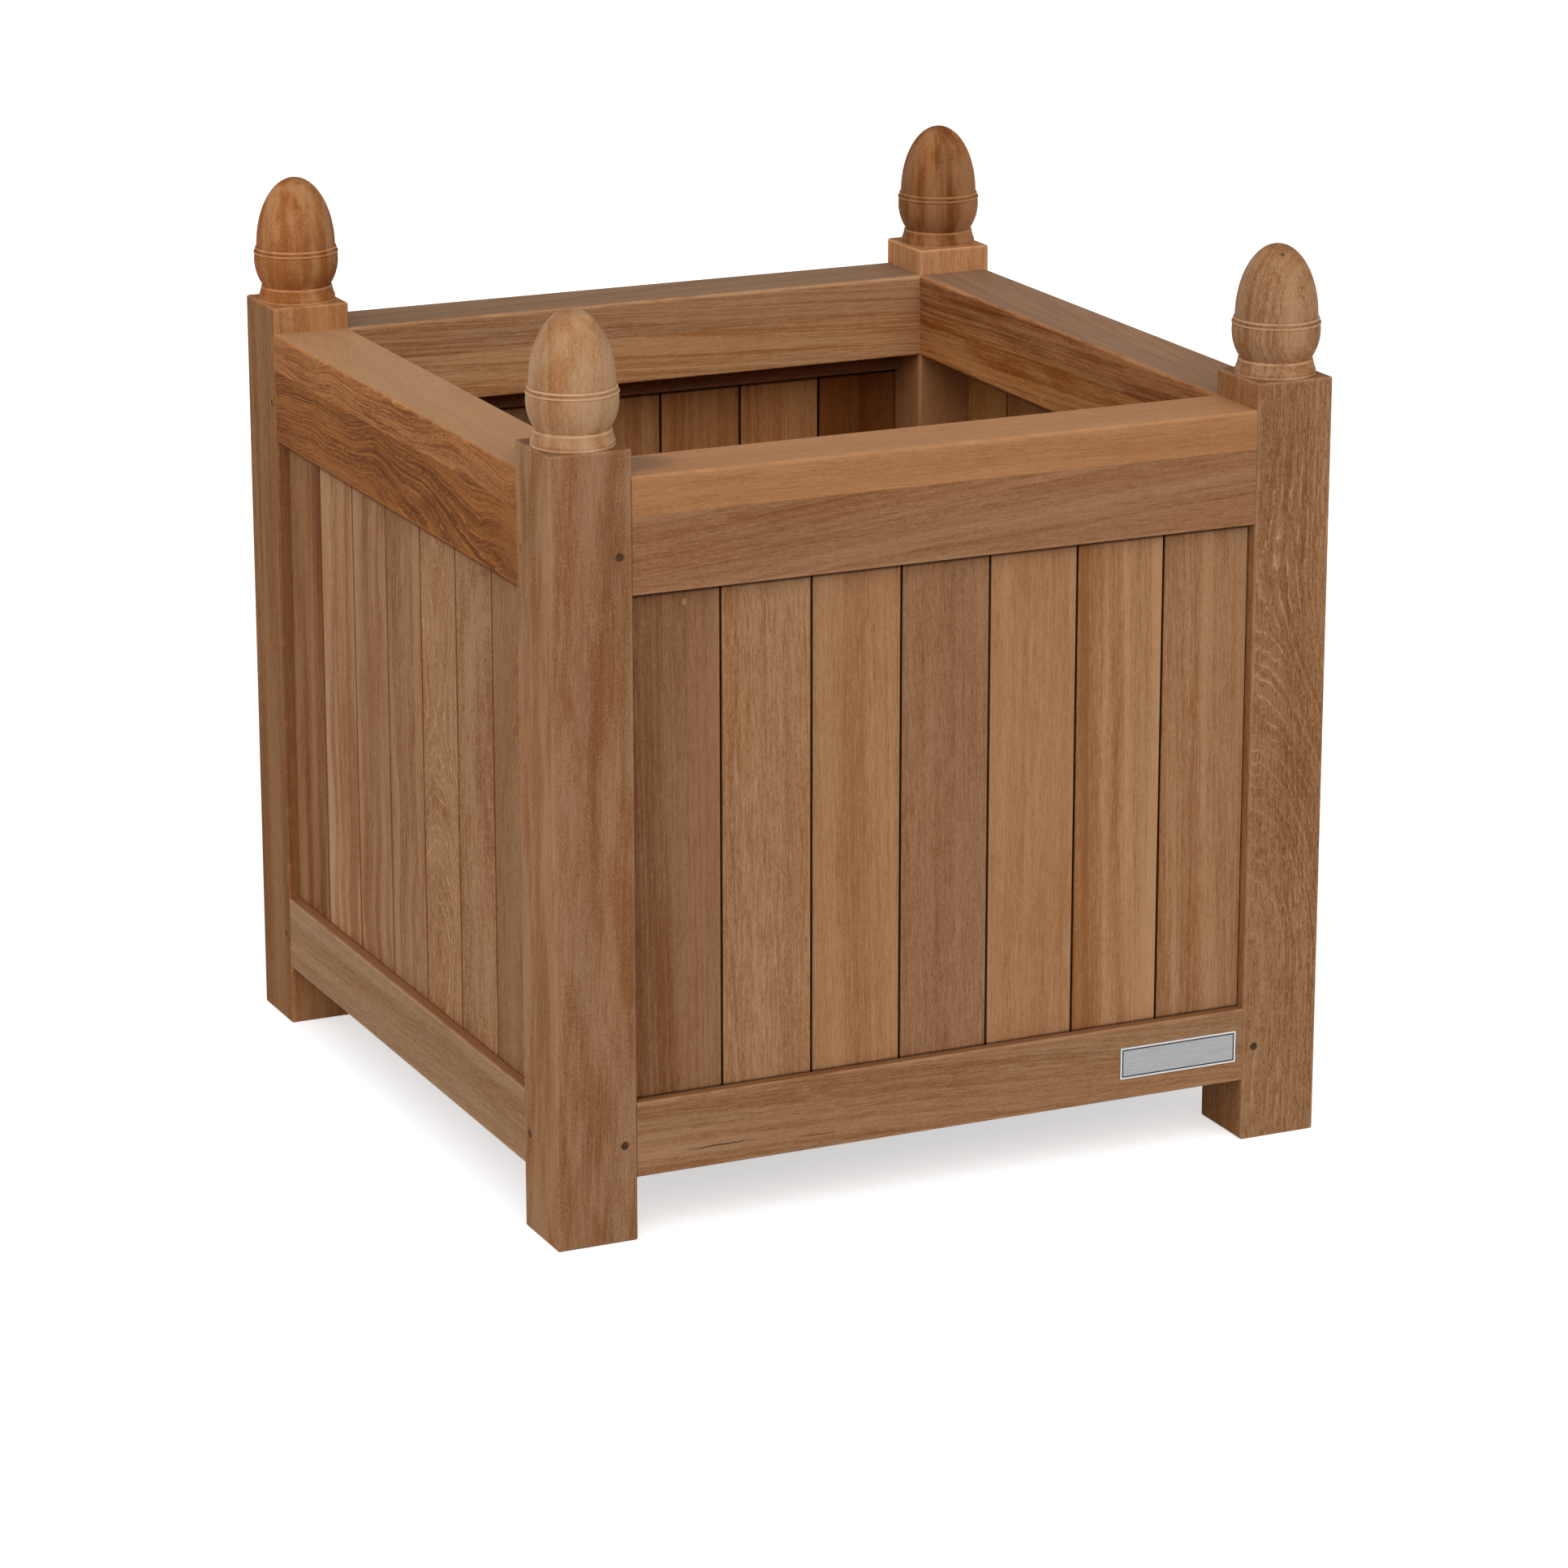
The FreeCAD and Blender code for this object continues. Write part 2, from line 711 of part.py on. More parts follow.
def make_floor_screw(name, x, y):
    """A countersunk screw with a square socket, its head flush with the boards."""
    upright = quarter_rotation(0)
    shank_radius = size("screw_diameter") / 2
    head_radius = size("screw_head_diameter") / 2
    head_height = head_radius - shank_radius
    tip_bottom = floor_top - size("screw_length")
    tip_top = tip_bottom + size("screw_tip_length")
    head = new_primitive(
        "Part::Cone", f"{name}_head", Radius1=shank_radius, Radius2=head_radius, Height=head_height)
    put(head, x, y, floor_top - head_height, upright)
    shank = new_primitive(
        "Part::Cylinder", f"{name}_shank", Radius=shank_radius, Height=floor_top - head_height - tip_top)
    put(shank, x, y, tip_top, upright)
    tip = new_primitive(
        "Part::Cone", f"{name}_tip",
        Radius1=size("screw_tip_diameter") / 2, Radius2=shank_radius, Height=size("screw_tip_length"))
    put(tip, x, y, tip_bottom, upright)
    whole = doc.addObject("Part::MultiFuse", f"{name}_whole")
    whole.Shapes = [head, shank, tip]
    half_socket = size("screw_socket_width") / 2
    socket = new_primitive(
        "Part::Box", f"{name}_socket", Length=size("screw_socket_width"),
        Width=size("screw_socket_width"), Height=size("screw_socket_depth"))
    put(socket, x - half_socket, y - half_socket, floor_top - size("screw_socket_depth"), upright)
    screw = doc.addObject("Part::Cut", name)
    screw.Base = whole
    screw.Tool = socket
    return screw


def make_floor_screws(label):
    screws = []
    for _, along in screw_places():
        for x in (-screw_distance, screw_distance):
            screws.append(make_floor_screw(f"{label}_{len(screws) + 1}", x, along))
    return make_group(label, screws)


# Nameplate: a blank metal plate with an engraved border, at the right of the front lower rail

def make_nameplate(label):
    body = new_body(label)
    right = half_opening - size("plate_end_gap")
    left = right - size("plate_width")
    middle = lower_rail_bottom + size("lower_rail_height") / 2
    bottom = middle - size("plate_height") / 2
    top = middle + size("plate_height") / 2
    back = new_sketch(body, f"{label}_outline", "XZ_Plane", -face_y)
    add_rectangle(back, left, right, bottom, top)
    pad = add_pad(body, f"{label}_pad", back, size("plate_thickness"))
    add_fillet(
        body, f"{label}_corners", pad,
        lambda edge: near(edge.BoundBox.YLength, size("plate_thickness").amount),
        size("plate_corner_round"))
    border = new_sketch(body, f"{label}_border", "XZ_Plane", size("plate_thickness") - face_y)
    inset = size("plate_border_inset")
    add_rectangle(border, left + inset, right - inset, bottom + inset, top - inset)
    inset = inset + size("plate_border_width")
    add_rectangle(border, left + inset, right - inset, bottom + inset, top - inset)
    add_pocket(body, f"{label}_engraving", border, size("plate_border_depth"))
    return body


# The whole planter

pieces = []
for quarters, corner in enumerate(CORNERS):
    pieces.append(make_post(f"post_{corner}", quarters))
    pieces.append(make_finial(f"finial_{corner}", quarters))
for quarters, side in enumerate(SIDES):
    pieces.append(make_upper_stave(f"top_rail_{side}_upper_stave", quarters))
    pieces.append(make_lower_stave(f"top_rail_{side}_lower_stave", quarters))
    pieces.append(make_lower_rail(f"lower_rail_{side}", quarters, side in ("left", "right")))
    pieces.append(make_batten(f"slat_batten_{side}", quarters))
    for number in range(SLATS_PER_SIDE):
        pieces.append(make_slat(f"slat_{side}_{number + 1}", quarters, number))
for number in range(FLOOR_BOARDS):
    pieces.append(make_floor_board(f"floor_board_{number + 1}", number))
pieces.append(make_joint_pegs("joint_pegs"))
pieces.append(make_finial_dowels("finial_dowels"))
pieces.append(make_floor_screws("floor_screws"))
pieces.append(make_nameplate("nameplate"))
doc.recompute()

# Every object and every piece is sound before anything is written
for item in doc.Objects:
    if "Invalid" in item.State or "Error" in item.State:
        raise RuntimeError(f"{item.Label} is not built: {item.State}")
for piece in pieces:
    if piece.Shape.isNull() or not piece.Shape.isValid():
        raise RuntimeError(f"{piece.Label} has no sound shape")

os.makedirs("parts", exist_ok=True)
total_volume = 0
for piece in pieces:
    piece.Shape.exportStep(f"parts/{piece.Label}.step")
    total_volume += piece.Shape.Volume
    print(f"{piece.Label}: {len(piece.Shape.Solids)} solid(s), {piece.Shape.Volume:.0f} mm3")
print(f"{len(pieces)} nodes, {total_volume:.0f} mm3 in all")
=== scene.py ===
import math
import random

import bpy
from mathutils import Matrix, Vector


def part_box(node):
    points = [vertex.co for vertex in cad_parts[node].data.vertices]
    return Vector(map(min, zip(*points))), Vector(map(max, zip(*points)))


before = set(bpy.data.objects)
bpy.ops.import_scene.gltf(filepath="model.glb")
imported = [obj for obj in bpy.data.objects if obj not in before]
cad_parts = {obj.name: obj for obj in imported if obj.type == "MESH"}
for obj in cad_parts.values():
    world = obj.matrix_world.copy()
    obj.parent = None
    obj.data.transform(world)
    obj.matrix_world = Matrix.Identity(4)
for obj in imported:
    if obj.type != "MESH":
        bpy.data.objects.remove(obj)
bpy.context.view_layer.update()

# A teak planter box. Every board has its own cut of the same grain: growth rings round a pith
# line that lies somewhere in or beside the board, with fibres and pores along its length.
MM = 0.001
SLAT_PITCH = 74 * MM
SLAT_HALF_WIDTH = 36.25 * MM
SLATS_PER_SIDE = 7
FLOOR_BOARDS = 4
GLUE_EDGE = 6 * MM

# Heights in millimetres
POST_TOP = 610
TOP_RAIL_BOTTOM = 500
LOWER_RAIL_TOP = 109

# Turned edges of a finial, in millimetres: heights above the post, and the reach of their light
# lines, partly rubbed wear and partly painted highlight
FINIAL_EDGES = ((0.8, 1.2), (11.2, 1.1), (39.6, 1.0), (43.0, 1.3))

# The plate's engraved border line in metres: middle from the edge, and half its width
PLATE_LINE = 1.9 * MM
PLATE_LINE_HALF = 0.5 * MM

SIDES = ("front", "right", "rear", "left")
CORNERS = ("front_left", "front_right", "rear_right", "rear_left")

# Which coordinates run across a board's face, into it and along its grain
POST_AXES = "XYZ"
RAIL_AXES = {"front": "ZYX", "rear": "ZYX", "left": "ZXY", "right": "ZXY"}
SLAT_AXES = {"front": "XYZ", "rear": "XYZ", "left": "YXZ", "right": "YXZ"}
FLOOR_AXES = "YZX"


def linear(channels):
    """A colour written in 0 to 255 as Blender's linear colour."""
    values = []
    for channel in channels:
        share = channel / 255
        values.append(share / 12.92 if share <= 0.04045 else ((share + 0.055) / 1.055) ** 2.4)
    return (*values, 1.0)


# Tones of teak: the ground between the grain lines, and the lines
TONES = {
    "sunlit": ((206, 153, 110), (165, 107, 64)),
    "bright": ((193, 142, 97), (155, 99, 56)),
    "golden": ((182, 139, 102), (142, 93, 54)),
    "honey": ((184, 135, 94), (148, 95, 55)),
    "pale": ((184, 146, 112), (147, 101, 64)),
    "amber": ((170, 118, 73), (116, 68, 33)),
    "copper": ((194, 132, 73), (142, 82, 35)),
    "tan": ((175, 136, 101), (135, 88, 52)),
    "rosy": ((164, 124, 93), (124, 79, 45)),
    "umber": ((153, 113, 82), (108, 65, 36)),
    "rust": ((158, 104, 57), (96, 51, 22)),
    "grey": ((166, 126, 96), (124, 81, 50)),
}


class Graph:
    """Short names for making and joining shader nodes."""

    def __init__(self, tree):
        self.tree = tree

    def add(self, kind, **settings):
        node = self.tree.nodes.new(kind)
        for name, value in settings.items():
            setattr(node, name, value)
        return node

    def feed(self, socket, value):
        if isinstance(value, bpy.types.NodeSocket):
            self.tree.links.new(value, socket)
        elif value is not None:
            socket.default_value = value

    def math(self, operation, *values):
        node = self.add("ShaderNodeMath", operation=operation)
        for socket, value in zip(node.inputs, values):
            self.feed(socket, value)
        return node.outputs[0]

    def vector(self, operation, *values):
        node = self.add("ShaderNodeVectorMath", operation=operation)
        for socket, value in zip(node.inputs, values):
            self.feed(socket, value)
        return node.outputs[0]

    def length(self, vector):
        node = self.add("ShaderNodeVectorMath", operation="LENGTH")
        self.feed(node.inputs[0], vector)
        return node.outputs["Value"]

    def join(self, x, y, z):
        node = self.add("ShaderNodeCombineXYZ")
        for socket, value in zip(node.inputs, (x, y, z)):
            self.feed(socket, value)
        return node.outputs[0]

    def split(self, vector):
        node = self.add("ShaderNodeSeparateXYZ")
        self.feed(node.inputs[0], vector)
        return node.outputs

    def noise(self, place, stretch, detail=2.0, roughness=0.5):
        """Noise from 0 to 1 whose grains are as many to the metre as stretch says."""
        node = self.add("ShaderNodeTexNoise")
        node.inputs["Scale"].default_value = 1.0
        node.inputs["Detail"].default_value = detail
        node.inputs["Roughness"].default_value = roughness
        self.feed(node.inputs["Vector"], self.vector("MULTIPLY", place, stretch))
        return node.outputs[0]

    def ramp(self, value, low, high, start=0.0, end=1.0):
        """Smoothly from start to end as value goes from low to high."""
        node = self.add("ShaderNodeMapRange", interpolation_type="SMOOTHSTEP")
        for socket, number in zip(node.inputs, (value, low, high, start, end)):
            self.feed(socket, number)
        return node.outputs[0]

    def mix(self, share, first, second, blend="MIX"):
        node = self.add("ShaderNodeMix", data_type="RGBA", blend_type=blend)
        sockets = [socket for socket in node.inputs if socket.enabled]
        for socket, value in zip(sockets, (share, first, second)):
            self.feed(socket, value)
        return next(socket for socket in node.outputs if socket.enabled)

    def centred(self, value, strength):
        """A 0 to 1 value moved to lie about 0, times a strength."""
        return self.math("MULTIPLY", self.math("SUBTRACT", value, 0.5), strength)


# What the teak group takes, by kind of socket
TEAK_INPUTS = {
    "Vector": ("Place", "Facing", "Half Size", "Pith", "Lean", "Knee", "Ends"),
    "Color": ("Ground", "Line", "Side Tint", "Top Tone And Shade", "Shade Tint"),
    "Float": (
        "Seed", "Warm", "Swirl", "Wander", "Wobble", "Tilt", "Ring Width", "Rings", "Bands",
        "Lines", "Streaks", "Fibres", "Flecks", "Specks", "Blotches", "Pale Rings", "Wear",
        "Side Contrast", "Upward", "Bleach", "Gap", "Gap Reach"),
}

# Tone of plain wood between the line colour (0) and the ground colour (1), and strengths of
# what lies over the grain
TONE_MIDDLE = 0.60
TOP_TONE_MIX = 0.68
# The next two are strengths of painted shade: in the gaps between slats, and where slats go behind
# rails
GAP_SHADE_STRENGTH = 0.92
RAIL_SHADE_STRENGTH = 0.8
END_GRAIN_STRENGTH = 0.8


def make_teak_group():
    """Colour, roughness and height of teak at a place in the board's own coordinates."""
    tree = bpy.data.node_groups.new("teak_grain", "ShaderNodeTree")
    graph = Graph(tree)
    for kind, names in TEAK_INPUTS.items():
        for name in names:
            tree.interface.new_socket(name, in_out="INPUT", socket_type=f"NodeSocket{kind}")
    for name, kind in (("Color", "Color"), ("Roughness", "Float"), ("Height", "Float")):
        tree.interface.new_socket(name, in_out="OUTPUT", socket_type=f"NodeSocket{kind}")
    given = graph.add("NodeGroupInput").outputs
    result = graph.add("NodeGroupOutput").inputs

    place = given["Place"]
    seed = given["Seed"]
    across, depth, along = graph.split(place)
    loose = graph.vector("ADD", place, graph.join(seed, graph.math("MULTIPLY", seed, 1.7), seed))

    # The board's place among the rings, bent by slow noise and, where it has one, by a knee
    slow = (5, 5, 1.5)
    shift = graph.centred(graph.noise(loose, slow, 1.0), given["Wander"])
    other = graph.vector("ADD", loose, (3.1, 7.7, 1.3))
    sway = graph.centred(graph.noise(other, slow, 1.0), given["Wander"])
    swirl = graph.centred(graph.noise(other, (9, 9, 9), 1.0), given["Swirl"])
    shift = graph.math("ADD", shift, swirl)
    ripple = graph.centred(graph.noise(loose, (38, 38, 7), 1.0), 0.0028)
    tremble = graph.centred(graph.noise(other, (210, 210, 32), 2.0), given["Wobble"])
    pith_across, pith_depth, _ = graph.split(given["Pith"])
    lean_across, lean_depth, _ = graph.split(given["Lean"])
    from_pith_across = graph.math(
        "ADD", graph.math("SUBTRACT", across, pith_across),
        graph.math("ADD", shift, graph.math("MULTIPLY", along, lean_across)))
    knee_size, knee_foot, knee_head = graph.split(given["Knee"])
    knee = graph.math("MULTIPLY", graph.ramp(along, knee_foot, knee_head), knee_size)
    sway_and_knee = graph.math("ADD", sway, knee)
    from_pith_depth = graph.math(
        "ADD", graph.math("SUBTRACT", depth, pith_depth),
        graph.math("ADD", sway_and_knee, graph.math("MULTIPLY", along, lean_depth)))
    radius = graph.math("ADD", graph.math("ADD", ripple, tremble), graph.math(
        "SQRT", graph.math(
            "ADD", graph.math("MULTIPLY", from_pith_across, from_pith_across),
            graph.math("MULTIPLY", from_pith_depth, from_pith_depth))))
    side = graph.math(
        "ADD", graph.math("MULTIPLY", across, 0.2), graph.math("MULTIPLY", depth, 0.2))
    ring_place = graph.vector("ADD", graph.join(radius, side, along), graph.join(seed, 0.0, seed))

    # Rings: each starts with a dark porous line of its own strength and fades out
    bands = graph.ramp(graph.noise(ring_place, (50, 12, 1.3), 2.0, 0.55), 0.30, 0.70)
    lines = graph.ramp(graph.noise(ring_place, (430, 30, 2.2), 2.0, 0.6), 0.34, 0.66)
    uneven = graph.noise(ring_place, (70, 10, 0.9), 1.0)
    count = graph.math("DIVIDE", radius, given["Ring Width"])
    count = graph.math("ADD", count, graph.math("MULTIPLY", uneven, 3.0))
    white = graph.add("ShaderNodeTexWhiteNoise", noise_dimensions="1D")
    graph.feed(white.inputs["W"], graph.math("ADD", graph.math("FLOOR", count), seed))
    fade = graph.math("POWER", graph.math("SUBTRACT", 1.0, graph.math("FRACT", count)), 4.0)
    ring = graph.math("MULTIPLY", fade, graph.ramp(white.outputs["Value"], 0.25, 1.0, 0.0, 1.0))
    broken = graph.ramp(graph.noise(ring_place, (160, 60, 14), 2.0, 0.6), 0.34, 0.62, 0.3, 1.0)
    ring = graph.math("MULTIPLY", ring, broken)
    half_on = graph.math("FRACT", graph.math("ADD", count, 0.5))
    pale_ring = graph.math("POWER", graph.math("SUBTRACT", 1.0, half_on), 10.0)
    gaps = graph.ramp(graph.noise(ring_place, (400, 300, 90), 2.0, 0.6), 0.40, 0.50)
    pale_ring = graph.math("MULTIPLY", pale_ring, gaps)

    # Fibres, pores and pale flecks
    bent = graph.vector("ADD", loose, graph.join(graph.math("ADD", shift, tremble), sway, 0.0))
    fibres = graph.ramp(graph.noise(bent, (1000, 1000, 48), 2.0, 0.6), 0.32, 0.68)
    dashes = graph.ramp(graph.noise(bent, (1000, 1000, 230), 1.0), 0.30, 0.70)
    specks = graph.ramp(graph.noise(loose, (1150, 1150, 520), 1.0), 0.30, 0.70)
    streaks = graph.ramp(graph.noise(bent, (130, 130, 1.3), 1.0, 0.6), 0.32, 0.68)
    pores = graph.ramp(graph.noise(bent, (1500, 1500, 60), 1.0), 0.60, 0.72)
    fleck_noise = graph.noise(ring_place, (430, 70, 30), 2.0, 0.6)
    patches = graph.ramp(graph.noise(loose, (17, 17, 4.5), 1.0), 0.44, 0.60)
    flecks = graph.math("MULTIPLY", graph.ramp(fleck_noise, 0.54, 0.68), patches)

    half_across = graph.split(given["Half Size"])[0]
    tilt = graph.math("MULTIPLY", graph.math("DIVIDE", across, half_across), given["Tilt"])
    blotches = graph.ramp(graph.noise(bent, (60, 60, 9), 2.0, 0.6), 0.35, 0.65)
    tone = graph.math("ADD", TONE_MIDDLE, graph.centred(bands, given["Bands"]))
    tone = graph.math("ADD", tone, tilt)
    for value, strength in (
        (lines, given["Lines"]),
        (streaks, given["Streaks"]),
        (fibres, graph.math("MULTIPLY", given["Fibres"], 0.9)),
        (dashes, graph.math("MULTIPLY", given["Fibres"], 0.65)),
        (specks, given["Specks"]),
        (blotches, given["Blotches"]),
    ):
        tone = graph.math("ADD", tone, graph.centred(value, strength))
    tone = graph.math("SUBTRACT", tone, graph.math("MULTIPLY", ring, given["Rings"]))
    sideways = graph.math("ABSOLUTE", graph.split(given["Facing"])[0])
    sideways = graph.ramp(sideways, 0.5, 0.9)
    gain = graph.math("ADD", 1.0, graph.math("MULTIPLY", sideways, given["Side Contrast"]))
    tone = graph.math("MULTIPLY", graph.math("SUBTRACT", tone, TONE_MIDDLE), gain)
    tone = graph.math("ADD", TONE_MIDDLE, tone)
    colour = graph.mix(graph.ramp(tone, -0.2, 1.2), given["Line"], given["Ground"])

    # Slow drift between warm and greyish wood
    drift = graph.noise(loose, (26, 26, 2.5), 2.0)
    warm = graph.mix(1.0, colour, (1.03, 0.99, 0.94, 1.0), "MULTIPLY")
    cool = graph.mix(1.0, colour, (0.98, 1.005, 1.02, 1.0), "MULTIPLY")
    colour = graph.mix(
        given["Warm"], colour, graph.mix(graph.ramp(drift, 0.35, 0.65), cool, warm))
    rusty = graph.mix(1.0, colour, (1.04, 0.90, 0.72, 1.0), "MULTIPLY")
    colour = graph.mix(
        graph.math("MULTIPLY", graph.math("SUBTRACT", 1.0, blotches), given["Blotches"]),
        colour, rusty)
    colour = graph.mix(graph.math("MULTIPLY", pores, 0.3), colour, given["Line"])
    pale = graph.mix(1.0, given["Ground"], (1.30, 1.32, 1.36, 1.0), "MULTIPLY")
    colour = graph.mix(graph.math("MULTIPLY", flecks, given["Flecks"]), colour, pale)
    mostly = graph.ramp(patches, 0.0, 1.0, 0.4, 1.0)
    pale_ring = graph.math(
        "MULTIPLY", graph.math("MULTIPLY", pale_ring, mostly), given["Pale Rings"])
    filled = graph.mix(1.0, given["Ground"], (1.60, 1.66, 1.66, 1.0), "MULTIPLY")
    colour = graph.mix(pale_ring, colour, filled)

    # Upward faces are mixed towards a top tone of each board's own: on the rear and right top
    # rails a darker grey, painted shade and sheen. One pair of faces can be tinted too
    top_tone_and_shade = graph.mix(TOP_TONE_MIX, colour, given["Top Tone And Shade"])
    upward = graph.math("MULTIPLY", graph.ramp(given["Upward"], 0.55, 0.95), given["Bleach"])
    colour = graph.mix(upward, colour, top_tone_and_shade)
    # The side tint multiplies the sideways faces: a darker cut on the rear left post, and on the
    # front left post a lighter, warmer left face that is painted light
    tinted = graph.mix(1.0, colour, given["Side Tint"], "MULTIPLY")
    colour = graph.mix(sideways, colour, tinted)

    # Edges are lighter, partly from rubbed wear and partly as a painted highlight on the eased
    # edges: they are near to two of the board's faces at once
    distances = graph.split(graph.vector(
        "SUBTRACT", given["Half Size"], graph.vector("ABSOLUTE", place)))
    pairs = [
        graph.math("MAXIMUM", distances[first], distances[second])
        for first, second in ((0, 1), (1, 2), (0, 2))
    ]
    to_edge = graph.math("MINIMUM", pairs[0], graph.math("MINIMUM", pairs[1], pairs[2]))
    edge_wear_and_highlight = graph.ramp(to_edge, 0.0006, 0.0034, 1.0, 0.0)
    patchy = graph.ramp(graph.noise(loose, (90, 90, 40), 2.0), 0.35, 0.6, 0.35, 1.0)
    edge_wear_and_highlight = graph.math("MULTIPLY", graph.math("MULTIPLY", edge_wear_and_highlight, patchy), given["Wear"])
    colour = graph.mix(edge_wear_and_highlight, colour, pale)

    # Painted shade: tongues, grooves and the face edges beside them darken towards the shade tint,
    # as the shade deep in the narrow gaps between slats
    gap_shade = graph.ramp(distances[0], -0.0002, given["Gap Reach"], 1.0, 0.0)
    gap_shade = graph.math("MULTIPLY", gap_shade, GAP_SHADE_STRENGTH)
    gap_shade = graph.math("MULTIPLY", gap_shade, given["Gap"])
    colour = graph.mix(gap_shade, colour, given["Shade Tint"])

    # Painted shade: a slat is darkened towards the shade tint where it goes behind a rail, as the
    # shadow along the rail's edge
    foot, head, _ = graph.split(given["Ends"])
    to_rail = graph.math(
        "MINIMUM", graph.math("SUBTRACT", along, foot), graph.math("SUBTRACT", head, along))
    rail_shade = graph.math("MULTIPLY", graph.ramp(to_rail, 0.0004, 0.0026, 1.0, 0.0), given["Gap"])
    colour = graph.mix(graph.math("MULTIPLY", rail_shade, RAIL_SHADE_STRENGTH), colour, given["Shade Tint"])

    # Sawn ends are darker, because they drink more oil
    end = graph.ramp(graph.math("ABSOLUTE", graph.split(given["Facing"])[2]), 0.72, 0.97)
    darker = graph.mix(1.0, colour, (0.70, 0.64, 0.58, 1.0), "MULTIPLY")
    colour = graph.mix(graph.math("MULTIPLY", end, END_GRAIN_STRENGTH), colour, darker)

    roughness = graph.math("ADD", 0.62, graph.centred(fibres, 0.12))
    roughness = graph.math("ADD", roughness, graph.math("MULTIPLY", pores, 0.15))
    height = graph.math("SUBTRACT", fibres, graph.math("MULTIPLY", pores, 0.9))
    height = graph.math("SUBTRACT", height, graph.math("MULTIPLY", ring, 0.5))
    graph.feed(result["Color"], colour)
    graph.feed(result["Roughness"], roughness)
    graph.feed(result["Height"], height)
    return tree


teak_group = make_teak_group()

# How a board was cut: the pith's place from the board's middle (across, into the face) in
# millimetres, how it leans away along the board, and how strongly each part of the grain shows.
# A knee moves the pith by its first number between two places along the board. Millimetres
# too: swirl, wander, wobble, ring_width, gap_reach, and shaded, which a rail hides of a slat.
STRAIGHT = {
    "pith": (-260, 90), "lean": (0.012, 0.0), "knee": (0, -170, 170), "swirl": 0, "wander": 10,
    "wobble": 0.9, "tilt": 0.0, "ring_width": 3.2, "rings": 0.2, "bands": 0.36, "lines": 0.22,
    "streaks": 0.14, "fibres": 0.42, "specks": 0.16, "flecks": 0.12, "blotches": 0.12,
    "pale_rings": 0.0, "warm": 0.6, "wear": 0.45, "side_tint": (1.0, 1.0, 1.0),
    "side_contrast": 0.0, "bleach": 0.0, "top_tone_and_shade": (184, 144, 107), "gap": 0.0,
    "gap_reach": 0.6, "shade_tint": (32, 10, 3), "shaded": 2.3, "tint": (1.0, 1.0, 1.0),
    "marks": (), "beads": False,
}
CUTS = {
    "straight": {},
    "speckled": {
        "rings": 0.08, "bands": 0.24, "lines": 0.12, "fibres": 0.5, "specks": 0.26, "flecks": 0.3,
    },
    "banded": {"bands": 0.95, "rings": 0.25, "ring_width": 5, "lean": (0.02, 0.0)},
    "slanted": {"pith": (-200, 60), "lean": (-0.05, 0.02), "bands": 0.5, "rings": 0.25},
    "lined": {
        "pith": (-120, 70), "lean": (0.055, 0.01), "ring_width": 5.5, "rings": 0.6, "lines": 0.24,
        "streaks": 0.12, "wander": 18,
    },
    "arched": {
        "pith": (4, 62), "lean": (0.01, 0.09), "ring_width": 5.5, "rings": 0.4, "lines": 0.34,
        "wander": 16,
    },
    "flame": {
        "pith": (-52, 44), "lean": (0.05, 0.05), "ring_width": 2.7, "rings": 0.65, "lines": 0.5,
        "bands": 0.3, "wander": 60, "swirl": 40, "wobble": 2.0, "fibres": 0.6, "specks": 0.5,
        "warm": 0.5, "pale_rings": 0.9, "blotches": 0.3,
    },
    "flecked": {
        "pith": (-35, 60), "lean": (0.02, 0.03), "knee": (-52, -170, 170), "ring_width": 2.1,
        "rings": 0.3, "lines": 0.3, "bands": 0.3, "wander": 18, "wobble": 2.0, "flecks": 0.2,
        "pale_rings": 1.0, "fibres": 0.7, "specks": 0.5,
    },
    "plain": {
        "rings": 0.08, "bands": 0.24, "lines": 0.12, "fibres": 0.32, "specks": 0.1,
        "flecks": 0.05,
    },
    "turned": {
        "beads": True, "rings": 0.15, "bands": 0.8, "lines": 0.3, "fibres": 0.32, "specks": 0.26,
        "wear": 0.0, "wander": 10, "warm": 1.0, "blotches": 0.6,
    },
}


def start_material(name):
    """A new material, a graph for its nodes, and its shader."""
    material = bpy.data.materials.new(name)
    material.use_nodes = True
    graph = Graph(material.node_tree)
    shader = next(node for node in graph.tree.nodes if node.type == "BSDF_PRINCIPLED")
    return material, graph, shader


def add_bump(graph, shader, height, strength, distance):
    """Fine relief in the shader's normal."""
    bump = graph.add("ShaderNodeBump")
    bump.inputs["Strength"].default_value = strength
    bump.inputs["Distance"].default_value = distance
    graph.feed(bump.inputs["Height"], height)
    graph.feed(shader.inputs["Normal"], bump.outputs["Normal"])


